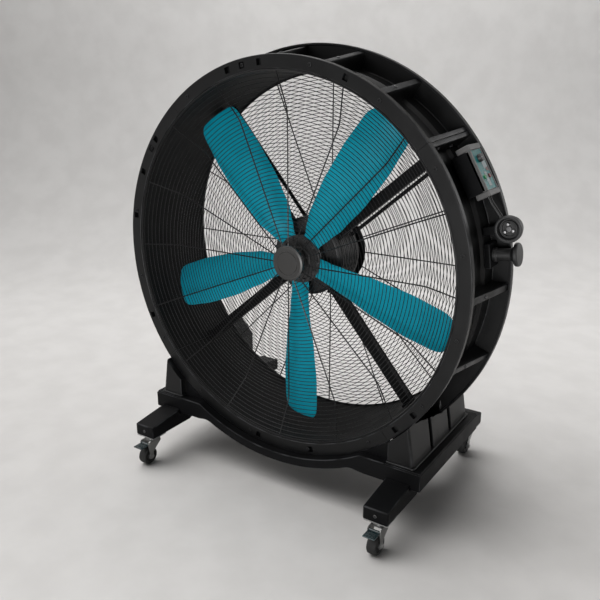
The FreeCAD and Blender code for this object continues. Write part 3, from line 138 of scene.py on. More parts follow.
def rounded(corners, radii):
    """Closed outline whose corners become tangent arcs.

    With half the inner angle h at a corner, the arc starts r / tan h before it and its centre lies r / sin h
    along the bisector. The arc is swept by blending its two end directions. Returns points and edge marks.
    """
    corner = np.asarray(corners, float)
    radius = np.broadcast_to(np.asarray(radii, float), len(corner))
    back = np.roll(corner, 1, 0) - corner
    onward = np.roll(corner, -1, 0) - corner
    shorter = np.minimum(np.linalg.norm(back, axis=1), np.linalg.norm(onward, axis=1))
    back, onward = unit(back), unit(onward)
    half = np.arccos(np.clip((back * onward).sum(1), -1, 1)) / 2
    half = np.clip(half, 1e-3, math.pi / 2 - 1e-6)
    setback = np.minimum(radius / np.tan(half), LARGEST_SETBACK * shorter)
    radius = setback * np.tan(half)
    centre = corner + unit(back + onward) * (radius / np.sin(half))[:, None]
    arm_in = (corner + back * setback[:, None] - centre)[:, None]
    arm_out = (corner + onward * setback[:, None] - centre)[:, None]
    share = np.linspace(0, 1, CORNER_STEPS + 1)
    sweep = (math.pi - 2 * half)[:, None]
    blend_in = (np.sin((1 - share) * sweep) / np.sin(sweep))[..., None]
    blend_out = (np.sin(share * sweep) / np.sin(sweep))[..., None]
    arc = centre[:, None] + blend_in * arm_in + blend_out * arm_out
    marks = (radius > LEAST_MARKED)[:, None] * np.sign(share * (1 - share))
    return arc.reshape(-1, 2), marks.ravel()


def profile(rows):
    """A rounded outline from rows of two coordinates and a corner radius."""
    rows = np.array(rows, float)
    return rounded(rows[:, :2], rows[:, 2])


def rectangle(width, height, centre=(0, 0)):
    """Corners of an upright rectangle."""
    half = np.array([[-1, -1], [1, -1], [1, 1], [-1, 1]]) * (np.array([width, height]) / 2)
    return half + np.asarray(centre)


def circle(radius, sides, centre=(0, 0)):
    """A round outline with no edge marks."""
    angle = np.linspace(0, 2 * math.pi, sides, endpoint=False)
    points = np.stack([np.cos(angle), np.sin(angle)], 1) * radius + np.asarray(centre)
    return points, np.zeros(sides)


def inward_normals(outline):
    """Unit normals of a closed outline: its tangents turned by a right angle to the inside."""
    after = np.roll(outline, -1, 0)
    tangent = after - np.roll(outline, 1, 0)
    area = (outline[:, 0] * after[:, 1] - outline[:, 1] * after[:, 0]).sum()
    return unit(np.stack([-tangent[:, 1], tangent[:, 0]], 1)) * np.sign(area)


print("points of a rounded square:", len(rounded(rectangle(1, 1), 0.1)[0]))

# %% Patches: grids and prisms
END_STEPS = 4


def patch(points, marks=None, loop_rows=False, loop_columns=True):
    """A grid of points (rows, columns, 3) with its quads, edge marks and flat end caps."""
    rows, columns = points.shape[:2]
    i = np.arange(rows if loop_rows else rows - 1)
    j = np.arange(columns if loop_columns else columns - 1)
    i, j = np.meshgrid(i, j, indexing="ij")
    row, after_row = i * columns, (i + 1) % rows * columns
    after_j = (j + 1) % columns
    quads = np.stack([row + j, after_row + j, after_row + after_j, row + after_j], -1)
    ends = []
    if loop_columns and not loop_rows:
        ends = [list(range(columns)), list(range((rows - 1) * columns, rows * columns))]
    marks = np.broadcast_to(0.0 if marks is None else marks, (rows, columns))
    return points.reshape(-1, 3), quads.reshape(-1, 4), ends, marks.reshape(-1)


def prism(outline, low, high, soft, where):
    """An outline carried along w from low to high; a quarter circle of radius soft rounds both ends."""
    points, marks = outline
    turn = np.linspace(0, math.pi / 2, END_STEPS)
    inset = soft * (1 - np.sin(turn))
    rise = soft * (1 - np.cos(turn))
    inset = np.concatenate([inset, inset[::-1]])
    level = np.concatenate([low + rise, high - rise[::-1]])
    spread = points[None] + inset[:, None, None] * inward_normals(points)[None]
    local = np.concatenate([spread, np.broadcast_to(level[:, None, None], spread.shape[:2] + (1,))], -1)
    edge = np.maximum(marks[None], (inset > 0)[:, None])
    edge[[0, -1]] = 0
    return patch(put(local, where), edge)


def box(size, centre, soft, where):
    """A block with rounded edges, from its three lengths and its centre in a local frame."""
    outline = rounded(rectangle(size[0], size[1], centre[:2]), soft)
    return prism(outline, centre[2] - size[2] / 2, centre[2] + size[2] / 2, soft, where)


print("side faces of a rounded block:", len(box((1, 1, 1), (0, 0, 0), 0.1, FAN)[1]))


# %% Turned shapes and tubes
def turned(outline, where, steps):
    """A closed outline of (radius, height) turned once about w."""
    points, marks = outline
    angle = np.linspace(0, 2 * math.pi, steps, endpoint=False)[:, None]
    radius = points[None, :, 0]
    height = np.broadcast_to(points[None, :, 1], (steps, len(points)))
    local = np.stack([radius * np.cos(angle), radius * np.sin(angle), height], -1)
    return patch(put(local, where), marks[None], loop_rows=True)


def lathe(rows, where, steps, bore=None):
    """Rows of radius, height and corner radius turned about w; a bore closes both ends at its radius."""
    if bore:
        rows = [(bore, rows[0][1], 0), *rows, (bore, rows[-1][1], 0)]
    return turned(profile(rows), where, steps)


def ring(radius, wire, height, where, steps, sides=6):
    """A wire hoop: a small circle turned about w."""
    return turned(circle(wire / 2, sides, (radius, height)), where, steps)


def tube(path, radius, sides=8):
    """A round wire along a path: at each point a circle in the plane square to the path."""
    along = unit(np.gradient(path, axis=0))
    helper = X if abs(along[:, 0]).max() < 0.8 else (Y if abs(along[:, 1]).max() < 0.8 else Z)
    first = unit(np.cross(along, helper))
    second = np.cross(along, first)
    angle = np.linspace(0, 2 * math.pi, sides, endpoint=False)[None, :, None]
    return patch(path[:, None] + radius * (np.cos(angle) * first[:, None] + np.sin(angle) * second[:, None]))


print("faces of a plain hoop:", len(ring(1, 0.1, 0, FAN, 60)[1]))

# %% Make a piece of its patches
SHARP_ANGLE = math.radians(38)
MERGE = 1e-6
made = []


def dress(name, patches, look, body, nodes=()):
    """Join patches into one mesh, seat it on a body and let it stand for its solids."""
    points, faces, marks = [], [], []
    count = 0
    for spots, quads, ends, edge in patches:
        points.append(spots)
        marks.append(edge)
        faces += (quads + count).tolist()
        faces += [[index + count for index in end] for end in ends]
        count += len(spots)
    mesh = bpy.data.meshes.new(name)
    mesh.from_pydata(np.concatenate(points).tolist(), [], faces)
    edge = mesh.attributes.new("edge", "FLOAT", "POINT")
    edge.data.foreach_set("value", np.concatenate(marks).astype(np.float32))
    work = bmesh.new()
    work.from_mesh(mesh)
    bmesh.ops.remove_doubles(work, verts=work.verts, dist=MERGE)
    bmesh.ops.dissolve_degenerate(work, edges=work.edges, dist=MERGE)
    bmesh.ops.recalc_face_normals(work, faces=work.faces)
    work.to_mesh(mesh)
    work.free()
    mesh.shade_smooth()
    mesh.set_sharp_from_angle(angle=SHARP_ANGLE)
    mesh.materials.append(look)
    piece = bpy.data.objects.new(name, mesh)
    bpy.context.scene.collection.objects.link(piece)
    flat = piece.modifiers.new("flat_faces", "WEIGHTED_NORMAL")
    flat.keep_sharp = True
    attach(piece, body)
    if nodes:
        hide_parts(*nodes)
    made.append(len(mesh.polygons))
    print(name, "faces:", len(mesh.polygons))


def recolour(node, look):
    """A solid whose shape is right keeps it and only takes a finish."""
    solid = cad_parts[node]
    solid.data.materials.clear()
    solid.data.materials.append(look)


# %% [markdown]
# ## Finishes
# Three effects are shared by many finishes, so each is a node group: the fine grain of a mould or of powder
# paint, a pale colour along exposed edges that is partly wear and partly a painted highlight, and dust that
# settles on faces that look up. Groups only hand out masks and heights. Each finish keeps its own shader and
# its own plain numbers.

# %% Small node helpers
def feed(tree, slot, value):
    """Another socket is linked to a slot; a number or a colour is set on it."""
    if isinstance(value, bpy.types.NodeSocket):
        tree.links.new(value, slot)
    else:
        slot.default_value = (*value, 1.0) if isinstance(value, tuple) else value


def noise(tree, vector, scale, detail):
    """A noise texture whose scale is a number or another socket."""
    node = tree.nodes.new("ShaderNodeTexNoise")
    node.inputs["Detail"].default_value = detail
    tree.links.new(vector, node.inputs["Vector"])
    feed(tree, node.inputs["Scale"], scale)
    return node.outputs["Fac"]


def calculate(tree, operation, first, second=0.0, clamp=False):
    """A math node fed by sockets or numbers."""
    node = tree.nodes.new("ShaderNodeMath")
    node.operation = operation
    node.use_clamp = clamp
    for slot, value in zip(node.inputs, (first, second)):
        feed(tree, slot, value)
    return node.outputs[0]


def ramp(tree, value, low, high, out_low=0.0, out_high=1.0):
    """A value between low and high mapped smoothly to another range."""
    node = tree.nodes.new("ShaderNodeMapRange")
    node.interpolation_type = "SMOOTHSTEP"
    numbers = (low, high, out_low, out_high)
    for slot, number in zip(("From Min", "From Max", "To Min", "To Max"), numbers):
        node.inputs[slot].default_value = number
    tree.links.new(value, node.inputs["Value"])
    return node.outputs["Result"]


def mix_colour(tree, mask, first, second):
    """Two colours, each a socket or three numbers, mixed by a mask."""
    node = tree.nodes.new("ShaderNodeMix")
    node.data_type = "RGBA"
    tree.links.new(mask, node.inputs["Factor"])
    feed(tree, node.inputs["A"], first)
    feed(tree, node.inputs["B"], second)
    return node.outputs["Result"]


# %% Node groups
def new_group(name, numbers, outputs):
    """An empty shader group with a Vector input, number inputs and float outputs."""
    group = bpy.data.node_groups.new(name, "ShaderNodeTree")
    group.interface.new_socket("Vector", in_out="INPUT", socket_type="NodeSocketVector")
    for label in numbers:
        group.interface.new_socket(label, in_out="INPUT", socket_type="NodeSocketFloat")
    for label in outputs:
        group.interface.new_socket(label, in_out="OUTPUT", socket_type="NodeSocketFloat")
    return group, group.nodes.new("NodeGroupInput").outputs, group.nodes.new("NodeGroupOutput").inputs


def grain_group():
    """Fine grain as a height, and a broad patchiness between 0 and 1."""
    group, given, result = new_group("mould_grain", ["Grain"], ["Height", "Patch"])
    fine = noise(group, given["Vector"], given["Grain"], 3.0)
    broad = noise(group, given["Vector"], 9.0, 6.0)
    group.links.new(fine, result["Height"])
    group.links.new(ramp(group, broad, 0.32, 0.68), result["Patch"])
    return group


def edge_wear_highlight_group():
    """Paler edges, partly wear where they were touched and partly a painted highlight: edge mark times broken
    noise.
    """
    group, given, result = new_group("edge_wear_painted_highlight", ["Edge"], ["Mask"])
    broken = ramp(group, noise(group, given["Vector"], 14.0, 5.0), 0.38, 0.62)
    mark = ramp(group, given["Edge"], 0.35, 1.0)
    group.links.new(calculate(group, "MULTIPLY", broken, mark), result["Mask"])
    return group


def dust_group():
    """Dust on faces that look up: the height of the normal times soft noise."""
    group, given, result = new_group("settled_dust", [], ["Mask"])
    split = group.nodes.new("ShaderNodeSeparateXYZ")
    group.links.new(group.nodes.new("ShaderNodeNewGeometry").outputs["Normal"], split.inputs[0])
    upward = ramp(group, split.outputs["Z"], 0.35, 1.0)
    soft = ramp(group, noise(group, given["Vector"], 9.0, 5.0), 0.3, 0.75)
    group.links.new(calculate(group, "MULTIPLY", upward, soft), result["Mask"])
    return group


def place_group(tree, group, vector):
    """A group placed in a material, fed with a vector."""
    node = tree.nodes.new("ShaderNodeGroup")
    node.node_tree = group
    tree.links.new(vector, node.inputs["Vector"])
    return node


GRAIN = grain_group()
WEAR_HIGHLIGHT_GROUP = edge_wear_highlight_group()
DUST = dust_group()
print("node groups:", len(bpy.data.node_groups))

# %% A general finish
DUST_COLOUR = (0.32, 0.31, 0.29)
SWING = 0.06
BUMP_STRENGTH = 0.5
MATTE = 0.42
BORE_MARGIN = 0.001


def bore_mask(tree, spot):
    """1 on the drum's inner face, which was moulded matte: points nearer to the fan axis than its wall."""
    split = tree.nodes.new("ShaderNodeSeparateXYZ")
    tree.links.new(spot, split.inputs[0])
    across = calculate(tree, "POWER", calculate(tree, "ABSOLUTE", split.outputs["X"]), 2.0)
    rise = calculate(tree, "ABSOLUTE", calculate(tree, "SUBTRACT", split.outputs["Z"], AXIS_HEIGHT))
    radius = calculate(tree, "SQRT", calculate(tree, "ADD", across, calculate(tree, "POWER", rise, 2.0)))
    return calculate(tree, "LESS_THAN", radius, BORE + BORE_MARGIN)


def tint(colour, factor):
    """A colour made lighter or darker by a factor."""
    return tuple(min(1.0, channel * factor) for channel in colour)


def finish(name, colour, roughness, edge_wear_highlight_colour, grain=700.0, depth=0.00005, dust=0.002, metallic=0.0, coat=0.0,
           specular=0.5, tone=0.10, matte=None):
    """Colour in two close tones, edges paled by wear and by a painted highlight, dust, roughness that
    wanders, and a fine grain as bump.
    """
    material = bpy.data.materials.new(name)
    material.use_nodes = True
    tree = material.node_tree
    shader = tree.nodes["Principled BSDF"]
    for label, value in (("Metallic", metallic), ("Coat Weight", coat), ("Specular IOR Level", specular)):
        shader.inputs[label].default_value = value
    spot = tree.nodes.new("ShaderNodeTexCoord").outputs["Object"]
    edge = tree.nodes.new("ShaderNodeAttribute")
    edge.attribute_name = "edge"
    surface = place_group(tree, GRAIN, spot)
    surface.inputs["Grain"].default_value = grain
    patchy = surface.outputs["Patch"]
    wear_highlight = place_group(tree, WEAR_HIGHLIGHT_GROUP, spot)
    tree.links.new(edge.outputs["Fac"], wear_highlight.inputs["Edge"])
    dusty = calculate(tree, "MULTIPLY", place_group(tree, DUST, spot).outputs["Mask"], dust)
    base = mix_colour(tree, patchy, tint(colour, 1 - tone), tint(colour, 1 + tone))
    # Edges take a paler colour: partly wear, partly a painted highlight along them.
    base = mix_colour(tree, wear_highlight.outputs["Mask"], base, edge_wear_highlight_colour)
    base = mix_colour(tree, dusty, base, DUST_COLOUR)
    tree.links.new(base, shader.inputs["Base Color"])
    wander = ramp(tree, patchy, 0.0, 1.0, roughness - SWING / 2, roughness + SWING / 2)
    rough = calculate(tree, "ADD", wander, dusty, clamp=True)
    if matte:
        dull = calculate(tree, "MULTIPLY", matte(tree, spot), MATTE)
        rough = calculate(tree, "ADD", rough, dull, clamp=True)
    tree.links.new(rough, shader.inputs["Roughness"])
    bump = tree.nodes.new("ShaderNodeBump")
    bump.inputs["Strength"].default_value = BUMP_STRENGTH
    bump.inputs["Distance"].default_value = depth
    tree.links.new(surface.outputs["Height"], bump.inputs["Height"])
    tree.links.new(bump.outputs["Normal"], shader.inputs["Normal"])
    return material


# %% [markdown]
# ### The finishes of this fan
# The drum is moulded in a soft black with a faint gloss, the base and the struts are powder painted, and
# the blades are a clear teal. A finish gets its colour, its roughness and the colour of its edges, which
# stands for wear and for a painted highlight; the rest is named where it differs from a plain moulding.

# %% The finishes
BLACK = (0.0030, 0.0031, 0.0034)
# Paler edge colour of the black finishes: partly wear, partly a painted highlight along the edges.
EDGE_WEAR_HIGHLIGHT_BLACK = (0.030, 0.031, 0.033)
TEAL = (0.003, 0.208, 0.285)
PALE_STEEL = (0.6, 0.6, 0.6)
drum_black = finish("drum_black", BLACK, 0.38, EDGE_WEAR_HIGHLIGHT_BLACK, depth=0.00006, specular=0.23, matte=bore_mask)
paint_black = finish("paint_black", (0.0034, 0.0035, 0.0039), 0.46, EDGE_WEAR_HIGHLIGHT_BLACK, grain=1100.0, depth=0.00008,
                     specular=0.08)
wire_black = finish("wire_black", (0.006, 0.006, 0.0064), 0.34, (0.02, 0.02, 0.02), dust=0.0, specular=0.22)
cast_black = finish("cast_black", (0.007, 0.007, 0.0074), 0.48, EDGE_WEAR_HIGHLIGHT_BLACK, grain=420.0, depth=0.0001)
cap_grey = finish("cap_grey", (0.012, 0.0115, 0.011), 0.46, (0.06, 0.06, 0.06))
blade_teal = finish("blade_teal", TEAL, 0.40, (0.007, 0.215, 0.285), grain=900.0, depth=0.00002, dust=0.0,
                    specular=0.08, tone=0.05)
pedal_teal = finish("pedal_teal", (0.003, 0.014, 0.017), 0.28, (0.06, 0.12, 0.13), coat=0.3)
zinc_plate = finish("zinc_plate", (0.26, 0.26, 0.255), 0.34, PALE_STEEL, grain=240.0, depth=0.00004,
                    metallic=1.0)
dark_steel = finish("dark_steel", (0.07, 0.07, 0.072), 0.40, (0.16, 0.16, 0.16), metallic=1.0)
bright_steel = finish("bright_steel", (0.45, 0.45, 0.46), 0.30, PALE_STEEL, metallic=1.0)
core_iron = finish("core_iron", (0.2, 0.2, 0.2), 0.5, (0.3, 0.3, 0.3), grain=300.0, metallic=0.8)
tread_rubber = finish("tread_rubber", (0.010, 0.010, 0.010), 0.62, (0.03, 0.03, 0.03), grain=500.0,
                      depth=0.0001, dust=0.05, specular=0.35)
panel_grey = finish("panel_grey", (0.040, 0.041, 0.043), 0.42, (0.09, 0.09, 0.095))
frame_grey = finish("frame_grey", (0.085, 0.083, 0.082), 0.42, (0.15, 0.15, 0.15))
hub_grey = finish("hub_grey", (0.14, 0.14, 0.145), 0.45, (0.3, 0.3, 0.31))
panel_teal = finish("panel_teal", (0.010, 0.26, 0.27), 0.24, (0.03, 0.2, 0.22), dust=0.0, coat=0.4)
label_pale = finish("label_pale", (0.34, 0.42, 0.44), 0.4, (0.4, 0.4, 0.4), dust=0.0)
lamp_red = finish("lamp_red", (0.09, 0.012, 0.012), 0.3, (0.3, 0.1, 0.1), dust=0.0, coat=0.3)
button_green = finish("button_green", (0.015, 0.16, 0.05), 0.3, (0.1, 0.3, 0.15), dust=0.0, coat=0.3)
lead_black = finish("lead_black", (0.007, 0.007, 0.007), 0.42, (0.02, 0.02, 0.02))
print("materials:", len(bpy.data.materials))

# %% [markdown]
# ## The drum
# The drum is a deep ring in four moulded quarters. Its section is a channel: a front rim with a lip, a
# recessed barrel, a raised band, a higher rear rim and a collar behind it. Turning one outline with rounded
# corners gives each quarter. The small pockets in the front rim come from the same grid: extra grid lines
# run along a pocket's edges, and the points between them are pushed back.

# %% Drum sizes
RIM_REAR = node_span("drum_segment_right", "x")[1]
RIM_FACE, COLLAR_END = node_span("drum_segment_top", "y")
RIM_FRONT = 0.800
WALL = 0.008
BARREL = BORE + WALL
BAND_RISE = 0.012
BAND = BARREL + BAND_RISE
REAR_FACE = -RIM_FACE
LIP = 0.025
SEAMS = {"right": -50.0, "top": 40.0, "left": 130.0, "bottom": 220.0}
QUARTER = 90
SEAM_GAP = 0.08
SHELL_STEPS = 91
POCKET_WIDTH = 0.024
POCKET_DEPTH = 0.017
POCKET_RADII = (0.763, 0.787)
POCKET_WALL = 0.0025
POCKET_EDGE = 0.0004
POCKET_EDGE_TURN = 0.03
POCKETS = np.array([-45.7, -37.8, 67.5, 95.3, 101.4, 106.7, 142.9, 146.6, 155.1, 170.4, 205.0, 262.0, 282.0])
print("drum radius", RIM_FRONT, "pockets:", len(POCKETS))


# %% One quarter of the drum
def drum_outline():
    """Channel section as (radius, height to the front), with the grid lines that pockets need.

    Returns the points, edge marks, and which points a pocket pushes back on the face and behind it.
    """
    low, high = POCKET_RADII
    inner, outer = low - POCKET_WALL, high + POCKET_WALL
    front, behind = -RIM_FACE, -RIM_FACE - WALL
    rows = np.array([
        (BORE, front, 0.004), (low, front, 0), (low + POCKET_EDGE, front, 0), (high - POCKET_EDGE, front, 0),
        (high, front, 0), (RIM_FRONT, front, 0.0035), (RIM_FRONT, front - LIP, 0.002),
        (RIM_FRONT - WALL, front - LIP, 0.0015), (RIM_FRONT - WALL, behind, 0.002),
        (outer, behind, 0), (outer - POCKET_EDGE, behind, 0), (inner + POCKET_EDGE, behind, 0),
        (inner, behind, 0), (BARREL, behind, 0.003), (BARREL, -0.052, 0.002), (BAND, -0.064, 0.004),
        (BAND, WALL - REAR_FACE, 0.004), (RIM_REAR - WALL, WALL - REAR_FACE, 0.003),
        (RIM_REAR - WALL, LIP - REAR_FACE, 0.0015), (RIM_REAR, LIP - REAR_FACE, 0.002),
        (RIM_REAR, -REAR_FACE, 0.0035), (BARREL, -REAR_FACE, 0.004),
        (BARREL, -COLLAR_END, 0.002), (BORE, -COLLAR_END, 0.002),
    ])
    points, marks = profile(rows)
    on_face = np.isin(rows, [low + POCKET_EDGE, high - POCKET_EDGE])[:, 0]
    on_back = np.isin(rows, [outer - POCKET_EDGE, inner + POCKET_EDGE])[:, 0]
    return points, marks, np.repeat(on_face, CORNER_STEPS + 1), np.repeat(on_back, CORNER_STEPS + 1)


def drum_shell(start):
    """One quarter: the outline turned through 90 degrees, with its pockets."""
    points, marks, on_face, on_back = drum_outline()
    end = start + QUARTER - SEAM_GAP
    half = math.degrees(POCKET_WIDTH / 2 / POCKET_RADII[1])
    wall = math.degrees(POCKET_WALL / POCKET_RADII[1])
    centres = POCKETS[(POCKETS > start) & (POCKETS < end)]
    sides = np.array([-half - wall, -half - wall + POCKET_EDGE_TURN, -half, -half + POCKET_EDGE_TURN])
    lines = centres[:, None] + np.concatenate([sides, -sides])
    angle = np.unique(np.concatenate([np.linspace(start, end, SHELL_STEPS), lines.ravel()]))
    away = np.abs(angle[:, None] - centres).min(1)[:, None]
    in_face = away < half - POCKET_EDGE_TURN / 2
    in_back = away < half + wall - POCKET_EDGE_TURN / 2
    height = points[:, 1] - POCKET_DEPTH * ((in_face & on_face) | (in_back & on_back))
    turn = np.radians(angle)[:, None]
    local = np.stack([points[:, 0] * np.cos(turn), points[:, 0] * np.sin(turn), height], -1)
    return patch(put(local, FAN), marks[None])


print("points of the drum section:", len(drum_outline()[0]))

# %% Screw and bolt heads
WASHER = 0.0015
SIX_WAYS = np.radians(np.arange(6) * 60)


def screw_head(radius, height, where):
    """A pan head with a round socket, on the plane of its place."""
    return lathe([
        (radius, -0.001, 0.0002), (radius, height, height * 0.5), (radius * 0.45, height, 0.0003),
        (radius * 0.42, height * 0.3, 0.0002),
    ], where, 20, bore=0.0002)


def hex_head(radius, height, where):
    """A six-sided bolt head with a washer under it."""
    wide = radius * 1.25
    washer = lathe([(wide, 0, 0.0002), (wide, WASHER, 0.0004)], where, 24, bore=0.0004)
    head = rounded(np.stack([np.cos(SIX_WAYS), np.sin(SIX_WAYS)], 1) * radius, radius * 0.06)
    return [washer, prism(head, WASHER, WASHER + height, radius * 0.12, where)]


# %% Cross ribs
RIB_DROP = 0.009
RIB_WIDTH = 0.026
RIB_STEPS = 13
RIB_SINK = 0.004
RIB_FLARE = 0.009
RIB_INSET = 0.005
SEAM_RIB_WIDTH = 0.018
SEAM_RIB_SHIFT = SEAM_RIB_WIDTH / 2 + 0.0004
RIGHT_RIBS = (-21.0, -1.0)
RIB_PITCH = 18.0
RIB_SCREW = (0.0062, 0.0035)
RIB_SCREW_LEVEL = 0.03


def rib(angle, width, shift=0.0):
    """A rib between the rims: a section with a flat crest and flared foot, whose crest climbs to the rear."""
    height = np.linspace(-RIM_FACE - RIB_INSET, RIM_FACE + RIB_INSET, RIB_STEPS)
    crest = np.linspace(RIM_FRONT - RIB_DROP, RIM_REAR - RIB_DROP, RIB_STEPS)
    foot = BARREL - RIB_SINK
    share = np.array([0, 0.1, 0.2, 0.32, 0.5, 0.75])
    flare = RIB_FLARE * np.maximum(0, 1 - share / 0.3) ** 2
    side = np.stack([width / 2 + flare, share * 0.92], 1)
    top = np.array([[width / 2, 0.955], [width / 2 - 0.0012, 0.985], [width / 2 - 0.004, 1.0]])
    right = np.concatenate([side, top])
    section = np.concatenate([right, right[::-1] * [-1, 1]])
    radius = foot + section[:, 1] * (crest[:, None] - foot)
    across = np.broadcast_to(section[:, 0] + shift, radius.shape)
    local = np.stack([radius, across, np.broadcast_to(height[:, None], radius.shape)], -1)
    marks = (section[:, 1] > 0.95).astype(float)
    return patch(put(local, radial_place(angle)), marks[None])


def rib_screw(angle, height):
    """A small screw on a rib's crest, whose radius grows evenly from the front rim to the rear one."""
    share = (-RIM_FACE - height) / (-2 * RIM_FACE)
    crest = RIM_FRONT - RIB_DROP + share * (RIM_REAR - RIM_FRONT)
    return screw_head(*RIB_SCREW, facing_out(radial_place(angle), (crest, 0, height)))


# %% The quarters put together
rib_screws = []
for side, start in SEAMS.items():
    angles = RIGHT_RIBS if side == "right" else [start + RIB_PITCH * count for count in range(1, 5)]
    patches = [drum_shell(start)]
    patches += [rib(angle, RIB_WIDTH) for angle in angles]
    patches.append(rib(start, SEAM_RIB_WIDTH, SEAM_RIB_SHIFT))
    patches.append(rib(start + QUARTER, SEAM_RIB_WIDTH, -SEAM_RIB_SHIFT))
    dress(f"drum_quarter_{side}", patches, drum_black, "frame", [f"drum_segment_{side}"])
    rib_screws += [rib_screw(angle, RIB_SCREW_LEVEL) for angle in angles]
dress("rib_screws", rib_screws, dark_steel, "frame")

# %% [markdown]
# ## The guards
# Both guards are welded from round wire: many concentric hoops on a few radial wires. The front one is a
# shallow bowl, the rear one is flat. Each hoop is a small circle turned about the axis; six or eight sides
# are enough at this gauge. The radial wires follow the bowl's profile with a soft bend.

# %% Guard wires
HOOP_WIRE = 0.008
HOOP_SIDES = 8
HOOP_SINK = 0.006
RING_WIRE = 0.0028
RADIAL_WIRE = 0.0054
RING_PITCH = 0.015
RING_STEPS = 180
RADIALS = 16
RADIAL_PITCH = 360 / RADIALS
WELD = 0.004
CAP_RADIUS = node_span("guard_centre_cap", "x")[1]
GUARD_FACE = sum(faces_of("guard_centre_cap")) / 2
PLATE_RADIUS = 0.170
BOWL_FLAT = 0.600
BOWL_BEND = 0.012
hoop_radius = BORE - FIT_GAP - HOOP_WIRE / 2
radial_end = hoop_radius - HOOP_WIRE / 2
hoop_height = -RIM_FACE - HOOP_SINK
bowl_slope = (hoop_height - GUARD_FACE) / (hoop_radius - BOWL_FLAT)
ring_lift = (RING_WIRE + RADIAL_WIRE) / 2


def bowl_height(radius):
    """Height of the front guard's radial wires: flat, then a slope with a rounded bend between them."""
    past = radius - BOWL_FLAT
    return GUARD_FACE + bowl_slope * (np.hypot(past, BOWL_BEND) + past) / 2


def guard_wires(hoop_level, ring_radii, ring_levels, spoke_radii, spoke_levels):
    """The hoop, the concentric wires and the radial wires of a guard, from their radii and heights."""
    wires = [ring(hoop_radius, HOOP_WIRE, hoop_level, FAN, RING_STEPS, HOOP_SIDES)]
    for radius, level in zip(ring_radii, ring_levels):
        wires.append(ring(radius, RING_WIRE, level, FAN, RING_STEPS))
    spoke = np.stack([spoke_radii, 0 * spoke_radii, spoke_levels], 1)
    places = [radial_place(RADIAL_PITCH * index) for index in range(RADIALS)]
    return wires + [tube(put(spoke, where), RADIAL_WIRE / 2) for where in places]


# %% Front guard
rings = np.arange(CAP_RADIUS + RING_PITCH, radial_end - RING_WIRE, RING_PITCH)
levels = bowl_height(rings) + ring_lift * np.hypot(1, bowl_slope * (rings > BOWL_FLAT))
spokes = np.concatenate([[CAP_RADIUS - WELD], np.linspace(0.1, 0.57, 6), np.linspace(0.58, radial_end, 14)])
front = guard_wires(hoop_height, rings, levels, spokes, bowl_height(spokes))
dress("front_guard_wires", front, wire_black, "frame", ["front_guard", "front_guard_skirt"])

# %% Rear guard
rear_height = faces_of("rear_guard")[0] - RADIAL_WIRE / 2
rings = np.arange(PLATE_RADIUS + RING_PITCH, radial_end - RING_WIRE, RING_PITCH)
spokes = np.linspace(PLATE_RADIUS - WELD, radial_end, 8)
rear = guard_wires(rear_height, rings, 0 * rings + rear_height - ring_lift, spokes, 0 * spokes + rear_height)
plate_front, plate_back, plate_dish = rear_height + 0.002, rear_height - 0.002, rear_height - 0.0045
rear.append(lathe([
    (PLATE_RADIUS, plate_front, 0.0015), (PLATE_RADIUS, plate_back, 0.0015), (0.12, plate_back, 0.002),
    (0.115, plate_dish, 0.002),
], FAN, 96, bore=0.0002))
dress("rear_guard_wires", rear, wire_black, "frame", ["rear_guard"])

# %% Centre cap and guard screws
GUARD_SCREW = (0.007, 0.004)
GUARD_SCREW_RADIUS = 0.774
cap_front, cap_back = faces_of("guard_centre_cap")
cap = lathe([
    (CAP_RADIUS, cap_back, 0.001), (CAP_RADIUS, cap_front - 0.003, 0.0025), (0.064, cap_front, 0.003),
    (0.0505, cap_front, 0.0006), (0.0495, cap_front - 0.0025, 0.0005),
    (0.0465, cap_front - 0.0025, 0.0005), (0.0455, cap_front, 0.0006), (0.030, cap_front + 0.0005, 0.002),
], FAN, 96, bore=0.0002)
dress("guard_cap", [cap], cap_grey, "frame", ["guard_centre_cap"])
heads = []
for index in range(RADIALS):
    spot = radial_place(RADIAL_PITCH * (index + 0.5))
    heads.append(screw_head(*GUARD_SCREW, moved(spot, (GUARD_SCREW_RADIUS, 0, -RIM_FACE))))
dress("guard_screw_heads", heads, drum_black, "frame", ["guard_screws"])

# %% [markdown]
# ## Rotor, motor and struts
# Five moulded blades are clamped between two plates on the shaft. A blade is a grid: one parameter runs from
# root to tip, the other round its section, which is a thin bowed wing. Chord and pitch change along the
# span, and the tip is rounded by letting the chord shrink along a quarter ellipse.

# %% Blades
BLADES = 5
BLADE_PITCH = 360 / BLADES
BLADE_PHASE = 55.0
BLADE_ROOT = 0.064
BLADE_TIP = 0.700
BLADE_LEVEL = -0.018
BLADE_SKIN = 0.007
BLADE_EDGE = 0.47
TIP_START = 0.94
TIP_ROUNDING = 0.30
BOW = 0.11
BOW_SHIFT = 0.25
SPAN = np.array([0.0, 0.06, 0.14, 0.24, 0.48, 0.72, 0.90, 1.0])
CHORD = np.array([0.082, 0.084, 0.112, 0.152, 0.194, 0.206, 0.194, 0.178])
PITCH = np.array([0.0, 2.0, 22.0, 29.0, 24.0, 19.0, 17.0, 17.0])


def eased(share, knots, values):
    """Values at knots along the span, joined by the mean of a straight line and a smooth step."""
    index = np.clip(np.searchsorted(knots, share, side="right") - 1, 0, len(knots) - 2)
    part = (share - knots[index]) / (knots[index + 1] - knots[index])
    soft = part * part * (3 - 2 * part)
    return values[index] + (values[index + 1] - values[index]) * (part + soft) / 2


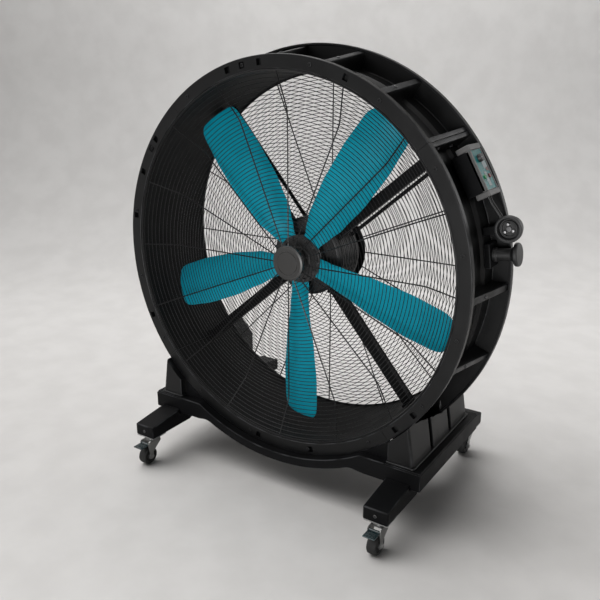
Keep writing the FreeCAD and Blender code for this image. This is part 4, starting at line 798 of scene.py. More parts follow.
def blade(angle):
    """Blade surface: bowed section of chord c at pitch p, moved out along u by the span."""
    tip = np.sin(np.linspace(0.1, 1, 12) * math.pi / 2)
    share = np.concatenate([np.linspace(0, TIP_START, 48), 1 - (1 - TIP_START) * (1 - tip)])
    near_tip = np.clip((share - TIP_START) / (1 - TIP_START), 0, 1)
    chord = eased(share, SPAN, CHORD) * (1 - TIP_ROUNDING * (1 - np.sqrt(1 - near_tip ** 2)))
    chord = chord[:, None]
    pitch = np.radians(eased(share, SPAN, PITCH))[:, None]
    around = np.linspace(0, 2 * math.pi, 48, endpoint=False)
    across = -np.cos(around) / 2
    thick = np.sin(around) * (0.55 + 0.45 * np.sqrt(np.clip(0.5 - across, 0, 1)))
    bow = BOW * (1 - (2 * across + BOW_SHIFT) ** 2 / (1 + BOW_SHIFT) ** 2)
    flat_root = np.clip((share - 0.03) / 0.12, 0, 1)[:, None]
    skin = BLADE_SKIN * (1 - 0.35 * share)[:, None] / 2
    run = chord * across
    lift = flat_root * chord * bow + skin * thick
    radius = BLADE_ROOT + share * (BLADE_TIP - BLADE_ROOT)
    local = np.stack([
        np.broadcast_to(radius[:, None], run.shape),
        run * np.cos(pitch) - lift * np.sin(pitch),
        BLADE_LEVEL + run * np.sin(pitch) + lift * np.cos(pitch),
    ], -1)
    marks = (np.abs(across) > BLADE_EDGE).astype(float)
    return patch(put(local, radial_place(angle)), marks[None])


blade_angles = [BLADE_PHASE + BLADE_PITCH * index for index in range(BLADES)]
for index, angle in enumerate(blade_angles, 1):
    dress(f"fan_blade_{index}", [blade(angle)], blade_teal, "rotor", [f"blade_{index}"])

# %% Hub, clamp plate, bolts and shaft
HUB_RADIUS = node_span("rotor_hub", "x")[1]
BOSS_RADIUS = 0.034
SHAFT_RADIUS = 0.0125
SHAFT_BORE = 0.0126
BOLT_SPOTS = ((0.084, 0.022), (0.084, -0.022))
hub_front, hub_back, boss_back = -0.022, -0.034, -0.058
hub = lathe([
    (SHAFT_BORE, hub_front, 0.0004), (HUB_RADIUS, hub_front, 0.002), (HUB_RADIUS, hub_back, 0.002),
    (BOSS_RADIUS, hub_back, 0.003), (BOSS_RADIUS, boss_back, 0.002), (SHAFT_BORE, boss_back, 0.0004),
], FAN, 80)
dress("hub_plate", [hub], dark_steel, "rotor", ["rotor_hub"])
clamp_front, clamp_back = faces_of("blade_clamp")
clamp_step = clamp_front - 0.002
clamp = lathe([
    (SHAFT_BORE, clamp_front, 0.0004), (0.05, clamp_front, 0.001), (0.054, clamp_step, 0.001),
    (HUB_RADIUS, clamp_step, 0.002), (HUB_RADIUS, clamp_back, 0.001), (SHAFT_BORE, clamp_back, 0.0004),
], FAN, 80)
dress("clamp_plate", [clamp], cast_black, "rotor", ["blade_clamp"])
bolts = []
for angle in blade_angles:
    for radius, across in BOLT_SPOTS:
        bolts += hex_head(0.0085, 0.006, moved(radial_place(angle), (radius, across, clamp_step)))
        bolts += hex_head(0.0085, 0.005, facing_back(radial_place(angle), (radius, across, hub_back)))
dress("blade_bolt_heads", bolts, dark_steel, "rotor", ["blade_bolts"])
shaft_front, shaft_back = faces_of("shaft")
rod = lathe([(SHAFT_RADIUS, shaft_back, 0.0015), (SHAFT_RADIUS, clamp_front, 0.0005)], FAN, 40, bore=0.0002)
nut = hex_head(0.020, shaft_front - clamp_front - WASHER, moved(FAN, (0, 0, clamp_front)))
dress("drive_shaft", [rod] + nut, bright_steel, "rotor", ["shaft"])

# %% Motor housing with cooling ribs, and its rear cover
MOTOR_RADIUS = node_span("motor_housing", "x")[1]
MOTOR_BORE = 0.0265
MOTOR_INSIDE = 0.157
GROOVE_FLOOR = MOTOR_RADIUS - 0.006
motor_front, motor_back = faces_of("motor_housing")
cover_back = -0.224
rows = [
    (MOTOR_BORE, motor_front, 0.001), (0.060, motor_front, 0.002), (0.066, motor_front - 0.004, 0.002),
    (0.150, motor_front - 0.004, 0.004), (MOTOR_RADIUS, motor_front - 0.016, 0.006),
]
for level in np.linspace(motor_front - 0.022, motor_back + 0.012, 9):
    rows += [(MOTOR_RADIUS, level + 0.004, 0.0008), (GROOVE_FLOOR, level + 0.0025, 0.0008),
             (GROOVE_FLOOR, level - 0.0025, 0.0008), (MOTOR_RADIUS, level - 0.004, 0.0008)]
rows += [(MOTOR_RADIUS, motor_back, 0.001), (MOTOR_INSIDE, motor_back, 0.0005),
         (MOTOR_INSIDE, motor_front - 0.012, 0.002), (MOTOR_BORE, motor_front - 0.012, 0.001)]
dress("motor_shell", [lathe(rows, FAN, 96)], cast_black, "frame", ["motor_housing"])
cover = lathe([
    (MOTOR_RADIUS, motor_back, 0.0005), (MOTOR_RADIUS, cover_back + 0.004, 0.002),
    (0.157, cover_back, 0.003), (0.132, cover_back, 0.003), (0.126, cover_back + 0.005, 0.003),
    (0.062, cover_back + 0.005, 0.003), (0.056, cover_back, 0.003),
], FAN, 96, bore=0.0002)
dress("motor_cover", [cover], cast_black, "frame", ["motor_rear_cover"])

# %% Struts
STRUTS = {"upper_right": 40, "upper_left": 130, "lower_left": 220, "lower_right": 310}
STRUT_HALF, STRUT_DEPTH, STRUT_SHEET = 0.023, 0.022, 0.004
STRUT_LEVEL = -0.100
STRUT_PAD = (0.060, 0.006, 0.012)
STAY_RADIUS = 0.008
STAY_SHIFT = 0.025
STAY_LEVEL = -0.190
STAY_ENDS = (0.1644, 0.7469)
strut_start = MOTOR_RADIUS + FIT_GAP
strut_end = math.sqrt((BORE - FIT_GAP) ** 2 - STRUT_HALF ** 2)
web = STRUT_HALF - STRUT_SHEET
channel = profile([
    (-STRUT_HALF, 0, 0.003), (STRUT_HALF, 0, 0.003), (STRUT_HALF, -STRUT_DEPTH, 0.001),
    (web, -STRUT_DEPTH, 0.001), (web, -STRUT_SHEET, 0.002), (-web, -STRUT_SHEET, 0.002),
    (-web, -STRUT_DEPTH, 0.001), (-STRUT_HALF, -STRUT_DEPTH, 0.001),
])
for corner, angle in STRUTS.items():
    spot = radial_place(angle)
    along = facing_out(spot, (0, 0, STRUT_LEVEL))
    parts = [prism(channel, strut_start, strut_end, 0.0008, along)]
    stay_at = facing_out(spot, (0, -STAY_SHIFT, STAY_LEVEL))
    parts.append(prism(circle(STAY_RADIUS, 20), *STAY_ENDS, 0.001, stay_at))
    for foot in (strut_start + STRUT_PAD[2] / 2, strut_end - STRUT_PAD[2] / 2):
        parts.append(box(STRUT_PAD, (0, 0.0005, foot), 0.002, along))
    dress(f"strut_bar_{corner}", parts, paint_black, "frame", [f"strut_{corner}"])
for node, look in (("motor_bearings", bright_steel), ("motor_stator", core_iron), ("rotor_core", core_iron)):
    recolour(node, look)

# %% [markdown]
# ## The base
# Two channel-like decks carry the drum on pillars and cradle beams, and four cast legs reach out to the
# casters. Decks and legs are outlines with rounded corners carried across their width. A cradle beam is a
# grid: its section is a rounded rectangle whose top and bottom follow two circles under the drum.

# %% Decks
UPRIGHT = place((0, 0, 0), X, Y, Z)
DECK_BOTTOM, DECK_TOP = node_span("base_side_right", "z")
DECK_CORNER = 0.003
LID_CORNER = 0.005
LID_STEP = 0.006
SIDES = {"right": 1, "left": -1}
for side in SIDES:
    low, high = (np.array(corner)[:2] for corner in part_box(f"base_side_{side}"))
    deck = rounded(rectangle(*(high - low), (low + high) / 2), DECK_CORNER)
    lid = rounded(rectangle(*(high - low - LID_STEP), (low + high) / 2), LID_CORNER)
    parts = [prism(deck, DECK_BOTTOM, DECK_TOP - LID_STEP, DECK_CORNER, UPRIGHT),
             prism(lid, DECK_TOP - 2 * LID_STEP, DECK_TOP, DECK_CORNER, UPRIGHT)]
    dress(f"deck_{side}", parts, paint_black, "frame", [f"base_side_{side}"])

# %% Legs
LEG_WIDTH = 0.104
LEG_CENTRE = 0.580
LEG_SOFT = 0.006
LEGS = {"front": -1, "rear": 1}
for end, way in LEGS.items():
    face = node_span("base_side_right", "y")[0 if way < 0 else 1]
    for side, sign in SIDES.items():
        low, high = node_span(f"leg_{end}_{side}", "z")
        outline = profile([
            (-0.120, DECK_BOTTOM, 0.004), (0, DECK_BOTTOM, 0.001), (0, high, 0.002), (0.078, 0.2025, 0.05),
            (0.180, low + 0.054, 0.007), (0.180, low, 0.006), (-0.066, low, 0.02),
            (-0.120, low + 0.027, 0.01),
        ])
        where = place((sign * LEG_CENTRE, face, 0), way * Y, Z, way * X)
        parts = [prism(outline, -LEG_WIDTH / 2, LEG_WIDTH / 2, LEG_SOFT, where)]
        dress(f"leg_casting_{end}_{side}", parts, paint_black, "frame", [f"leg_{end}_{side}"])

# %% Cradle beams
CRADLE_BAND = 0.040
CRADLE_HALF = 0.02
CRADLE_SOFT = 0.005
CRADLE_STEPS = 121
SHOULDER = 0.371
SHOULDER_HALF = 0.05
WEB_SETBACK = 0.040
WEB_THICKNESS = 0.010
WEB_ROOT = 0.004
WEB_SOFT = 0.0005
cradle_reach = node_span("base_side_right", "x")[0] + DECK_CORNER


def under_drum(radius, x):
    """Height of a circle about the fan axis, on its lower side: axis - sqrt(r r - x x)."""
    return AXIS_HEIGHT - np.sqrt(np.maximum(radius ** 2 - x ** 2, 0))


for end, seat in (("front", RIM_FRONT + FIT_GAP), ("rear", BARREL + FIT_GAP)):
    low_y, high_y = node_span(f"cradle_{end}", "y")
    x = np.linspace(-cradle_reach, cradle_reach, CRADLE_STEPS)
    top = np.minimum(under_drum(seat, x), DECK_TOP)
    outer = under_drum(seat + CRADLE_BAND, x)
    turn_over = np.clip((np.abs(x) - SHOULDER + SHOULDER_HALF) / (2 * SHOULDER_HALF), 0, 1)
    bottom = outer + (DECK_BOTTOM - outer) * turn_over * turn_over * (3 - 2 * turn_over)
    section, marks = rounded(rectangle(high_y - low_y, 2 * CRADLE_HALF), CRADLE_SOFT)
    rise = np.sign(section[:, 1]) * (CRADLE_HALF - np.abs(section[:, 1]))
    level = np.where(section[:, 1] > 0, top[:, None], bottom[:, None]) - rise
    along = np.broadcast_to(x[:, None], level.shape)
    depth = np.broadcast_to(section[:, 0] + (low_y + high_y) / 2, level.shape)
    parts = [patch(np.stack([along, depth, level], -1), marks[None])]
    web_end = node_span(f"cradle_{end}", "x")[1]
    web_x = np.linspace(math.sqrt(seat ** 2 - (AXIS_HEIGHT - DECK_TOP) ** 2), web_end, 20)
    web_foot = [[web_end, DECK_TOP - WEB_ROOT], [web_x[0], DECK_TOP - WEB_ROOT]]
    web = np.concatenate([np.stack([web_x, under_drum(seat, web_x)], 1), web_foot])
    for sign in SIDES.values():
        where = place((0, low_y + WEB_SETBACK, 0), sign * X, Z, Y)
        parts.append(prism((web, np.zeros(len(web))), 0, WEB_THICKNESS, WEB_SOFT, where))
    dress(f"cradle_beam_{end}", parts, paint_black, "frame", [f"cradle_{end}"])

# %% Pillar plan
PILLAR_X = (0.526, 0.636)
PILLAR_Y = (-0.178, 0.370)
PILLAR_LEAN = 0.042
PILLAR_START = 0.008
PILLAR_HEIGHT = 0.260
PILLAR_SPLIT = 8
PILLAR_SEAT = 0.0005
LID_CENTRE = PILLAR_X[0] + 0.03
GROOVES = 2
GROOVE_HALF, GROOVE_DEPTH = 0.014, 0.022
FOOT_EDGE = 0.012
FOOT_HEIGHT = 0.009
FOOT_SOFT = 0.0035


def seat_radius(y):
    """Radius of the drum over the pillars: front rim, cone over the ribs, rear rim, then the collar."""
    cone = np.interp(y, [RIM_FACE + LIP, REAR_FACE - LIP], [RIM_FRONT, RIM_REAR])
    return np.where(y > REAR_FACE + FIT_GAP, BARREL, cone) + PILLAR_SEAT


def pillar_outline():
    """Plan of a pillar with its grooves cut into the outer side, split finely along y."""
    (inner, outer), (low, high) = PILLAR_X, PILLAR_Y
    floor = outer - GROOVE_DEPTH
    rows = [(outer, low, 0.012)]
    for index in range(1, GROOVES + 1):
        middle = low + (high - low) * index / (GROOVES + 1)
        rows += [(outer, middle - GROOVE_HALF, 0.002), (floor, middle - GROOVE_HALF + 0.001, 0.001),
                 (floor, middle + GROOVE_HALF - 0.001, 0.001), (outer, middle + GROOVE_HALF, 0.002)]
    rows += [(outer, high, 0.012), (inner, high, 0.004), (inner, low, 0.004)]
    points, marks = profile(rows)
    after = np.roll(points, -1, 0)
    split = np.linspace(0, 1, PILLAR_SPLIT, endpoint=False)[None, :, None]
    fine = (points[:, None] * (1 - split) + after[:, None] * split).reshape(-1, 2)
    return fine, np.repeat(marks, PILLAR_SPLIT)


# %% Pillar surfaces
(inner, outer), (low, high) = PILLAR_X, PILLAR_Y
plan, marks = pillar_outline()
share = np.linspace(0, 1, 16)[:, None]
height = DECK_TOP + PILLAR_START + share * (PILLAR_HEIGHT - PILLAR_START)
lean = (plan[:, 0] - inner) / (outer - inner) * PILLAR_LEAN * (height - DECK_TOP) / PILLAR_HEIGHT
x = plan[:, 0] - lean
x_lid = x[-1] + (LID_CENTRE - x[-1]) * np.linspace(0, 1, 6)[1:, None]
height = np.concatenate([height, np.full((len(x_lid), 1), DECK_TOP + PILLAR_HEIGHT)])
x = np.concatenate([x, x_lid])
y = np.broadcast_to(plan[:, 1], x.shape)
z = np.minimum(height, under_drum(seat_radius(y), x))
for side, sign in SIDES.items():
    parts = [patch(np.stack([sign * x, y, z], -1), marks[None])]
    middle = (sign * (inner + outer) / 2, (low + high) / 2)
    foot = rounded(rectangle(outer - inner + FOOT_EDGE, high - low + FOOT_EDGE, middle), FOOT_EDGE)
    parts.append(prism(foot, DECK_TOP, DECK_TOP + FOOT_HEIGHT, FOOT_SOFT, UPRIGHT))
    dress(f"pillar_shell_{side}", parts, drum_black, "frame", [f"pillar_{side}"])

# %% [markdown]
# ## Casters
# Each caster is a zinc plated plate on the leg, a sheet fork that swivels under it, and a black wheel with a
# grey hub. The two front ones have a brake pedal. Wheels are turned outlines, forks are thin outlines.

# %% Caster plates and forks
SWIVELS = {"front_right": (0.580, -0.327), "front_left": (-0.580, -0.327),
           "rear_right": (0.580, 0.552), "rear_left": (-0.580, 0.552)}
TRAIL = 0.032
WHEEL_RADIUS = 0.040
PLATE_UNDER = 0.131
CHEEK_OUT, CHEEK_SHEET = 0.027, 0.003
FORK_TOP = 0.112
HINGE_SHIFT, HINGE_HEIGHT = 0.042, 0.099


def caster_plate(x, y):
    """The fixed plate with its ball race, king pin, pin nut and four bolts."""
    upright = moved(UPRIGHT, (x, y, 0))
    race = [(0.0265, 0.1212, 0.001), (0.028, 0.124, 0.001), (0.028, PLATE_UNDER, 0.001)]
    pin = [(0.006, 0.1, 0.001), (0.006, 0.1215, 0)]
    parts = [box((0.100, 0.084, 0.004), (0, 0, 0.133), 0.0015, upright)]
    parts += [lathe(race, upright, 48, bore=0.0004), lathe(pin, upright, 24, bore=0.0004)]
    parts += hex_head(0.011, 0.0055, facing_back(upright, (0, 0, 0.1077)))
    for u in (-0.036, 0.036):
        for v in (-0.030, 0.030):
            parts += hex_head(0.006, 0.004, facing_back(upright, (u, v, PLATE_UNDER)))
    return parts


def axle_places(x, y, out=0.0):
    """Places on the wheel axle, this far out to the right and to the left, each with w outwards."""
    return (place((x + out, y - TRAIL, WHEEL_RADIUS), Y, Z, X),
            place((x - out, y - TRAIL, WHEEL_RADIUS), Z, Y, -X))


def fork(x, y, braked):
    """Two cheeks, a crown with the lower race, the axle with its nuts, and a pin where a pedal hangs."""
    upright, across = moved(UPRIGHT, (x, y, 0)), facing_out(UPRIGHT, (x, y, 0))
    nose = -0.049 if braked else -0.028
    cheek = profile([
        (0.026, FORK_TOP, 0.006), (nose, FORK_TOP, 0.006), (nose, 0.092, 0.004),
        (-TRAIL - 0.012, 0.062, 0.014), (-TRAIL - 0.010, 0.029, 0.0095), (-TRAIL + 0.010, 0.029, 0.0095),
        (-TRAIL + 0.012, 0.062, 0.014), (0.026, 0.097, 0.006),
    ])
    race = [(0.028, FORK_TOP, 0.001), (0.028, 0.117, 0.002), (0.025, 0.1207, 0.001)]
    lows = (CHEEK_OUT - CHEEK_SHEET, -CHEEK_OUT)
    parts = [prism(cheek, low, low + CHEEK_SHEET, 0.0008, across) for low in lows]
    parts.append(box((0.054, 0.054, 0.004), (0, -0.001, 0.110), 0.0015, upright))
    parts.append(lathe(race, upright, 48, bore=0.0062))
    parts.append(prism(circle(0.005, 20), -CHEEK_OUT, CHEEK_OUT, 0.0005, axle_places(x, y)[0]))
    for seat in axle_places(x, y, CHEEK_OUT):
        parts += hex_head(0.009, 0.0035, seat)
    if braked:
        hinge = facing_out(UPRIGHT, (x, y - HINGE_SHIFT, HINGE_HEIGHT))
        parts.append(prism(circle(0.003, 16), -0.0275, 0.0275, 0.0005, hinge))
    return parts


# %% Wheels, pedals and the four casters
PEDAL_RIBS = 4
tread_half = [
    (0.0051, 0.022, 0.0003), (0.0155, 0.022, 0.001), (0.018, 0.013, 0.001), (0.0265, 0.013, 0.001),
    (0.0285, 0.0195, 0.001), (0.0345, 0.020, 0.002), (0.0385, 0.017, 0.003), (WHEEL_RADIUS, 0.010, 0.004),
]
tread = tread_half + [(radius, -height, soft) for radius, height, soft in reversed(tread_half)]
disc = [(0.0150, 0.0222, 0), (0.0150, 0.0232, 0.0005)]


def pedal(x, y):
    """An eye round the fork's pin, an arm, and a tread plate with low ribs."""
    upright = moved(UPRIGHT, (x, y, 0))
    hinge = facing_out(upright, (0, -HINGE_SHIFT, HINGE_HEIGHT))
    eye = [(0.00305, -0.0237, 0.0003), (0.007, -0.0237, 0.001), (0.007, 0.0237, 0.001),
           (0.00305, 0.0237, 0.0003)]
    parts = [lathe(eye, hinge, 32)]
    parts.append(box((0.0474, 0.016, 0.005), (0, -0.046, HINGE_HEIGHT), 0.0015, upright))
    parts.append(box((0.050, 0.041, 0.005), (0, -0.0715, HINGE_HEIGHT), 0.002, upright))
    for step in range(PEDAL_RIBS):
        parts.append(box((0.038, 0.003, 0.002), (0, -0.060 - 0.008 * step, 0.1018), 0.0008, upright))
    return parts


plates = []
for corner, (x, y) in SWIVELS.items():
    plates += caster_plate(x, y)
    braked = corner.startswith("front")
    dress(f"fork_sheet_{corner}", fork(x, y, braked), zinc_plate, f"swivel_{corner}",
          [f"caster_fork_{corner}"])
    axles = axle_places(x, y)
    dress(f"wheel_tread_{corner}", [lathe(tread, axles[0], 64)], tread_rubber, f"wheel_{corner}",
          [f"caster_wheel_{corner}"])
    for way, axle in zip(("out", "in"), axles):
        dress(f"wheel_disc_{corner}_{way}", [lathe(disc, axle, 40, bore=0.0052)], hub_grey, f"wheel_{corner}")
    if braked:
        dress(f"pedal_tread_{corner}", pedal(x, y), pedal_teal, f"pedal_{corner}", [f"brake_pedal_{corner}"])
dress("caster_top_plates", plates, zinc_plate, "frame", ["caster_plates"])

# %% [markdown]
# ## Controls
# On the right the drum carries a control box with a teal panel between grey caps, a round supply inlet and a
# post for the cord. They are drawn in the drum's own directions: u outwards, v along the rim, w to the front.

# %% Control box
BOX = radial_place(29.5)
box_floor, box_crest, panel_top = BAND + FIT_GAP, 0.838, 0.842
box_half = 0.075
box_front, box_back = -0.008, -0.114
panel_middle = (box_front + box_back) / 2
box_depth = box_front - box_back


def box_layer(low, high, soft):
    """A block over the whole box, between two radii."""
    return box((high - low, 2 * box_half, box_depth), ((high + low) / 2, 0, panel_middle), soft, BOX)


def on_panel(size, along, level, soft):
    """A thin plate on the panel, half sunk into it."""
    return box(size, (panel_top, along, panel_middle + level), soft, BOX)


shell = [box_layer(box_floor, box_crest, 0.003)]
dress("control_shell", shell, paint_black, "frame", ["control_box"])
face = [box_layer(box_crest, panel_top, 0.0015)]
dress("control_face", face, panel_teal, "frame", ["control_panel"])
bezel = []
for edge in (box_front - 0.004, box_back + 0.004):
    bezel.append(box((0.018, 2 * box_half, 0.008), (panel_top - 0.007, 0, edge), 0.0015, BOX))
for sign in (1, -1):
    middle = sign * (box_half + 0.010)
    bezel.append(box((0.052, 0.020, box_depth), (panel_top - 0.022, middle, panel_middle), 0.004, BOX))
dress("control_caps", bezel, frame_grey, "frame", ["control_end_caps"])
labels = [on_panel((0.0012, 0.040, 0.034), 0.020, -0.024, 0.0004),
          on_panel((0.0012, 0.052, 0.022), -0.036, 0, 0.0004)]
dress("control_labels", labels, label_pale, "frame")
lamp = [on_panel((0.002, 0.014, 0.020), -0.002, -0.030, 0.0006)]
dress("control_lamp", lamp, lamp_red, "frame")

# %% Knob and buttons
KNOB_ALONG = 0.040
BUTTON_ALONG, BUTTON_SHIFT = -0.028, 0.022
knob = [(0.004, -0.016, 0.0005), (0.004, 0.0003, 0.0005), (0.015, 0.0003, 0.001), (0.0135, 0.014, 0.002)]
knob_seat = facing_out(BOX, (panel_top, KNOB_ALONG, panel_middle))
pointer = box((0.002, 0.010, 0.001), (0, 0.006, 0.0142), 0.0004, knob_seat)
dress("knob_cap", [lathe(knob, knob_seat, 40, bore=0.0003)], lead_black, "knob", ["speed_knob"])
dress("knob_pointer", [pointer], label_pale, "knob")
button = [(0.010, -0.016, 0.0005), (0.010, -0.014, 0.0005), (0.008, -0.014, 0.0005), (0.008, 0.006, 0.002)]
for name, shift, look, slot in (("start", BUTTON_SHIFT, button_green, "button_green"),
                                ("stop", -BUTTON_SHIFT, lamp_red, "button_red")):
    seat = facing_out(BOX, (panel_top, BUTTON_ALONG, panel_middle + shift))
    dress(f"{name}_button_cap", [lathe(button, seat, 32, bore=0.0003)], look, name, [f"{name}_button"])

# %% Supply inlet
INLET = radial_place(14.4)
INLET_RADIUS = 0.868
INLET_FLOOR = -0.064
PINS = 3
PIN_CIRCLE = 0.017
inlet_seat = moved(INLET, (INLET_RADIUS, 0, 0))
cup = [(0.040, -0.094, 0.004), (0.044, -0.070, 0.003), (0.048, -0.062, 0.003), (0.048, -0.042, 0.004),
       (0.039, -0.042, 0.003), (0.036, -0.048, 0.002), (0.036, INLET_FLOOR, 0.003)]
collar = [(0.025, INLET_FLOOR, 0.0005), (0.030, INLET_FLOOR, 0.001), (0.030, -0.056, 0.002),
          (0.025, -0.056, 0.002)]
parts = [lathe(cup, inlet_seat, 72, bore=0.0003), lathe(collar, inlet_seat, 56)]
dress("inlet_cup", parts, cast_black, "frame", ["power_inlet"])
pin = [(0.005, 0, 0.0002), (0.005, 0.015, 0.0015)]
pins = []
for index in range(PINS):
    turn = math.radians(90 + 360 / PINS * index)
    spot = (PIN_CIRCLE * math.cos(turn), PIN_CIRCLE * math.sin(turn), INLET_FLOOR)
    pins.append(lathe(pin, moved(inlet_seat, spot), 24, bore=0.0003))
dress("inlet_pins", pins, bright_steel, "frame")
boss = lathe([(0.009, INLET_FLOOR, 0.001), (0.009, -0.056, 0.003)], inlet_seat, 32, bore=0.0003)
dress("inlet_boss", [boss], hub_grey, "frame")

# %% Cord post and brackets
POST = radial_place(7.9)
POST_LEVEL = -0.096
post = lathe([
    (0.026, 0.7906, 0.002), (0.026, 0.802, 0.002), (0.023, 0.806, 0.003), (0.023, 0.856, 0.006),
    (0.030, 0.866, 0.004), (0.043, 0.871, 0.003), (0.043, 0.885, 0.006),
], facing_out(POST, (0, 0, POST_LEVEL)), 64, bore=0.0003)
dress("post_spool", [post], cast_black, "frame", ["cord_post"])
brackets = [box((0.022, 0.090, 0.076), (0.7793, 0, POST_LEVEL), 0.004, POST),
            box((0.0514, 0.031, 0.024), (0.794, 0, -0.082), 0.003, INLET)]
dress("side_bracket_blocks", brackets, paint_black, "frame", ["side_brackets"])
recolour("control_leads", lead_black)
recolour("drive_module", panel_grey)

# %% Frame bolts
FRAME_BOLT = (0.007, 0.0035)
SEAM_BOLT_RADIUS = 0.778
SEAM_BOLT_LEVELS = (0.060, -0.060)
SEAM_BOLT_OVER, SEAM_BOLT_UNDER = 0.0183, -0.0186
COVER_BOLTS = 8
COVER_BOLT_RADIUS = 0.148
NOSE_SCREW = (0.007, 0.003)
NOSE_SCREW_HEIGHT = 0.162
bolts = []
for angle in SEAMS.values():
    spot = radial_place(angle)
    outward, along, forward = spot[1]
    for level in SEAM_BOLT_LEVELS:
        over = put((SEAM_BOLT_RADIUS, SEAM_BOLT_OVER, level), spot)
        under = put((SEAM_BOLT_RADIUS, SEAM_BOLT_UNDER, level), spot)
        bolts += hex_head(*FRAME_BOLT, place(over, forward, outward, along))
        bolts += hex_head(*FRAME_BOLT, place(under, outward, forward, -along))
for index in range(COVER_BOLTS):
    spot = radial_place(360 / COVER_BOLTS * index)
    bolts += hex_head(*FRAME_BOLT, facing_back(spot, (COVER_BOLT_RADIUS, 0, cover_back)))
for end, way in LEGS.items():
    nose = node_span(f"leg_{end}_right", "y")[0 if way < 0 else 1]
    for sign in SIDES.values():
        seat = place((sign * LEG_CENTRE, nose, NOSE_SCREW_HEIGHT), -way * X, Z, way * Y)
        bolts.append(screw_head(*NOSE_SCREW, seat))
dress("frame_bolt_heads", bolts, dark_steel, "frame", ["frame_bolts"])
print("pieces:", len(made), "faces:", sum(made))

# %% [markdown]
# ## Stage, light and camera
# The photo shows the fan on a pale, slightly mottled studio sweep, with a gentle shadow to the lower right.
# The sweep is one surface that curves up behind the fan, and it is open when seen from behind. The main
# light is the world itself, a broad bright patch at the upper left. A low lamp in front lights the blades, a
# strip at the right rear only makes highlights, and a wide lamp washes the backdrop.

# %% Sweep
AZIMUTH, ELEVATION = math.radians(33.455), math.radians(17.686)
SWEEP_BACK = 4.5
SWEEP_BEND = 2.0
SWEEP_TOP = 6.0
SWEEP_HALF = 9
SWEEP_FLOOR = [-7.0, -2.0, 0.0, 1.5]
back_way = np.array([-math.sin(AZIMUTH), math.cos(AZIMUTH), 0.0])
side_way = np.array([math.cos(AZIMUTH), math.sin(AZIMUTH), 0.0])
turn = np.linspace(0, math.pi / 2, 24)
bend = SWEEP_BACK - SWEEP_BEND + SWEEP_BEND * np.sin(turn)
run = np.concatenate([SWEEP_FLOOR, bend, [SWEEP_BACK]])[:, None, None]
rise = np.concatenate([[0.0] * len(SWEEP_FLOOR), SWEEP_BEND * (1 - np.cos(turn)), [SWEEP_TOP]])[:, None, None]
width = np.linspace(SWEEP_HALF, -SWEEP_HALF, 3)[None, :, None]
spots, quads = patch(run * back_way + rise * Z + width * side_way, loop_columns=False)[:2]
mesh = bpy.data.meshes.new("studio_sweep")
mesh.from_pydata(spots.tolist(), [], quads.tolist())
mesh.shade_smooth()
sweep = bpy.data.objects.new("studio_sweep", mesh)
bpy.context.scene.collection.objects.link(sweep)
print("sweep faces:", len(mesh.polygons))

# %% Paper of the sweep
PAPER_TONES = (0.565, 0.556, 0.547), (0.605, 0.596, 0.587)
paper = bpy.data.materials.new("sweep_grey")
paper.use_nodes = True
tree = paper.node_tree
shader = tree.nodes["Principled BSDF"]
shader.inputs["Roughness"].default_value = 0.85
shader.inputs["Specular IOR Level"].default_value = 0.2
spot = tree.nodes.new("ShaderNodeTexCoord").outputs["Object"]
cloud = ramp(tree, noise(tree, spot, 5.0, 12.0), 0.3, 0.7)
tree.links.new(mix_colour(tree, cloud, *PAPER_TONES), shader.inputs["Base Color"])
opened = tree.nodes.new("ShaderNodeMixShader")
tree.links.new(tree.nodes.new("ShaderNodeNewGeometry").outputs["Backfacing"], opened.inputs[0])
tree.links.new(shader.outputs[0], opened.inputs[1])
tree.links.new(tree.nodes.new("ShaderNodeBsdfTransparent").outputs[0], opened.inputs[2])
tree.links.new(opened.outputs[0], tree.nodes["Material Output"].inputs["Surface"])
mesh.materials.append(paper)
print("paper nodes:", len(tree.nodes))

# %% World light
# The bright patch fades out between two cosines of the angle to its middle. The camera, gloss and clear
# surfaces see a pale room where the world would be dark.
LIGHT_WAY = Vector((-0.50, 0.02, 0.86)).normalized()
LIGHT_EDGE = (0.65, 0.98)
LIGHT_LEVELS = (0.015, 4.2)
PALE_ROOM = 0.62
world = bpy.data.worlds.new("studio")
bpy.context.scene.world = world
world.use_nodes = True
sky = world.node_tree
facing = sky.nodes.new("ShaderNodeVectorMath")
facing.operation = "DOT_PRODUCT"
facing.inputs[1].default_value = LIGHT_WAY
sky.links.new(sky.nodes.new("ShaderNodeTexCoord").outputs["Generated"], facing.inputs[0])
glow = ramp(sky, facing.outputs["Value"], *LIGHT_EDGE, *LIGHT_LEVELS)
path = sky.nodes.new("ShaderNodeLightPath").outputs
lit = calculate(sky, "MULTIPLY", glow, calculate(sky, "SUBTRACT", 1.0, path["Is Camera Ray"]))
seen = calculate(sky, "MAXIMUM", path["Is Camera Ray"], path["Is Glossy Ray"])
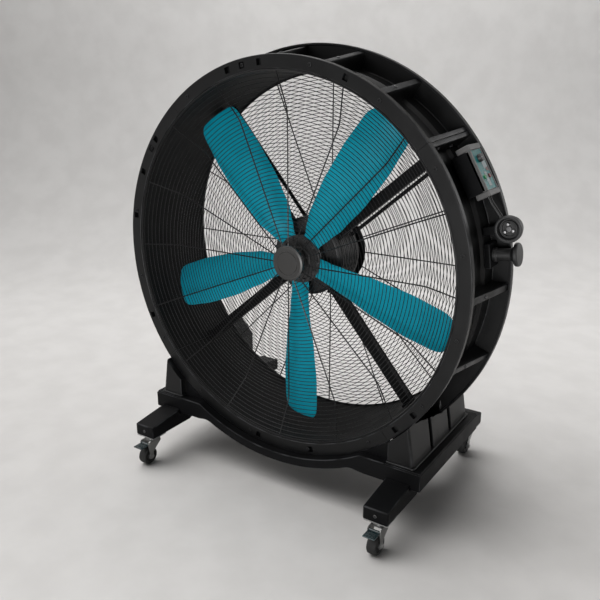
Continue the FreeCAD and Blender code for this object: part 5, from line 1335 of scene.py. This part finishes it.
seen = calculate(sky, "MAXIMUM", seen, path["Is Transmission Ray"])
strength = calculate(sky, "MAXIMUM", lit, calculate(sky, "MULTIPLY", seen, PALE_ROOM))
sky.links.new(strength, sky.nodes["Background"].inputs["Strength"])
sky.nodes["Background"].inputs["Color"].default_value = (1.0, 0.99, 0.98, 1.0)
print("world patch towards", tuple(round(part, 2) for part in LIGHT_WAY))


# %% Lamps
def area_lamp(name, spot, target, size, power, spread=180):
    """A soft lamp of two lengths that looks at a target."""
    data = bpy.data.lights.new(name, "AREA")
    data.shape = "RECTANGLE"
    data.size, data.size_y = size
    data.energy = power
    data.spread = math.radians(spread)
    lamp = bpy.data.objects.new(name, data)
    bpy.context.scene.collection.objects.link(lamp)
    lamp.location = spot
    lamp.visible_camera = False
    lamp.rotation_euler = (Vector(target) - Vector(spot)).to_track_quat("-Z", "Y").to_euler()
    return lamp


area_lamp("front_fill", (1.0, -3.7, 0.7), (0, 0, 1.05), (1.4, 1.4), 10, spread=40)
strip = area_lamp("right_strip", (1.95, 2.35, 2.05), (0.65, 0.1, 1.3), (0.7, 2.4), 14)
strip.visible_diffuse = False
wash = 1.9 * back_way + 0.4 * side_way + 3.6 * Z
area_lamp("backdrop_wash", wash, wash + 1.6 * back_way - 1.0 * Z, (7.0, 2.0), 120)
print("lamps:", len(bpy.data.lights))

# %% Camera
LENS = 42.18
DISTANCE = 2.9446
TARGET = np.array([0.0106, 0.0, 0.7852])
toward = math.sin(ELEVATION) * Z - math.cos(ELEVATION) * back_way
lens = bpy.data.cameras.new("photo_camera")
lens.lens = LENS
lens.sensor_width = 36.0
camera = bpy.data.objects.new("photo_camera", lens)
bpy.context.scene.collection.objects.link(camera)
camera.location = TARGET + DISTANCE * toward
camera.rotation_euler = (math.pi / 2 - ELEVATION, 0.0, AZIMUTH)
bpy.context.scene.camera = camera
bpy.context.scene.view_settings.view_transform = "Standard"
print("camera at", tuple(round(part, 3) for part in camera.location))

# %% Update the scene
bpy.context.view_layer.update()
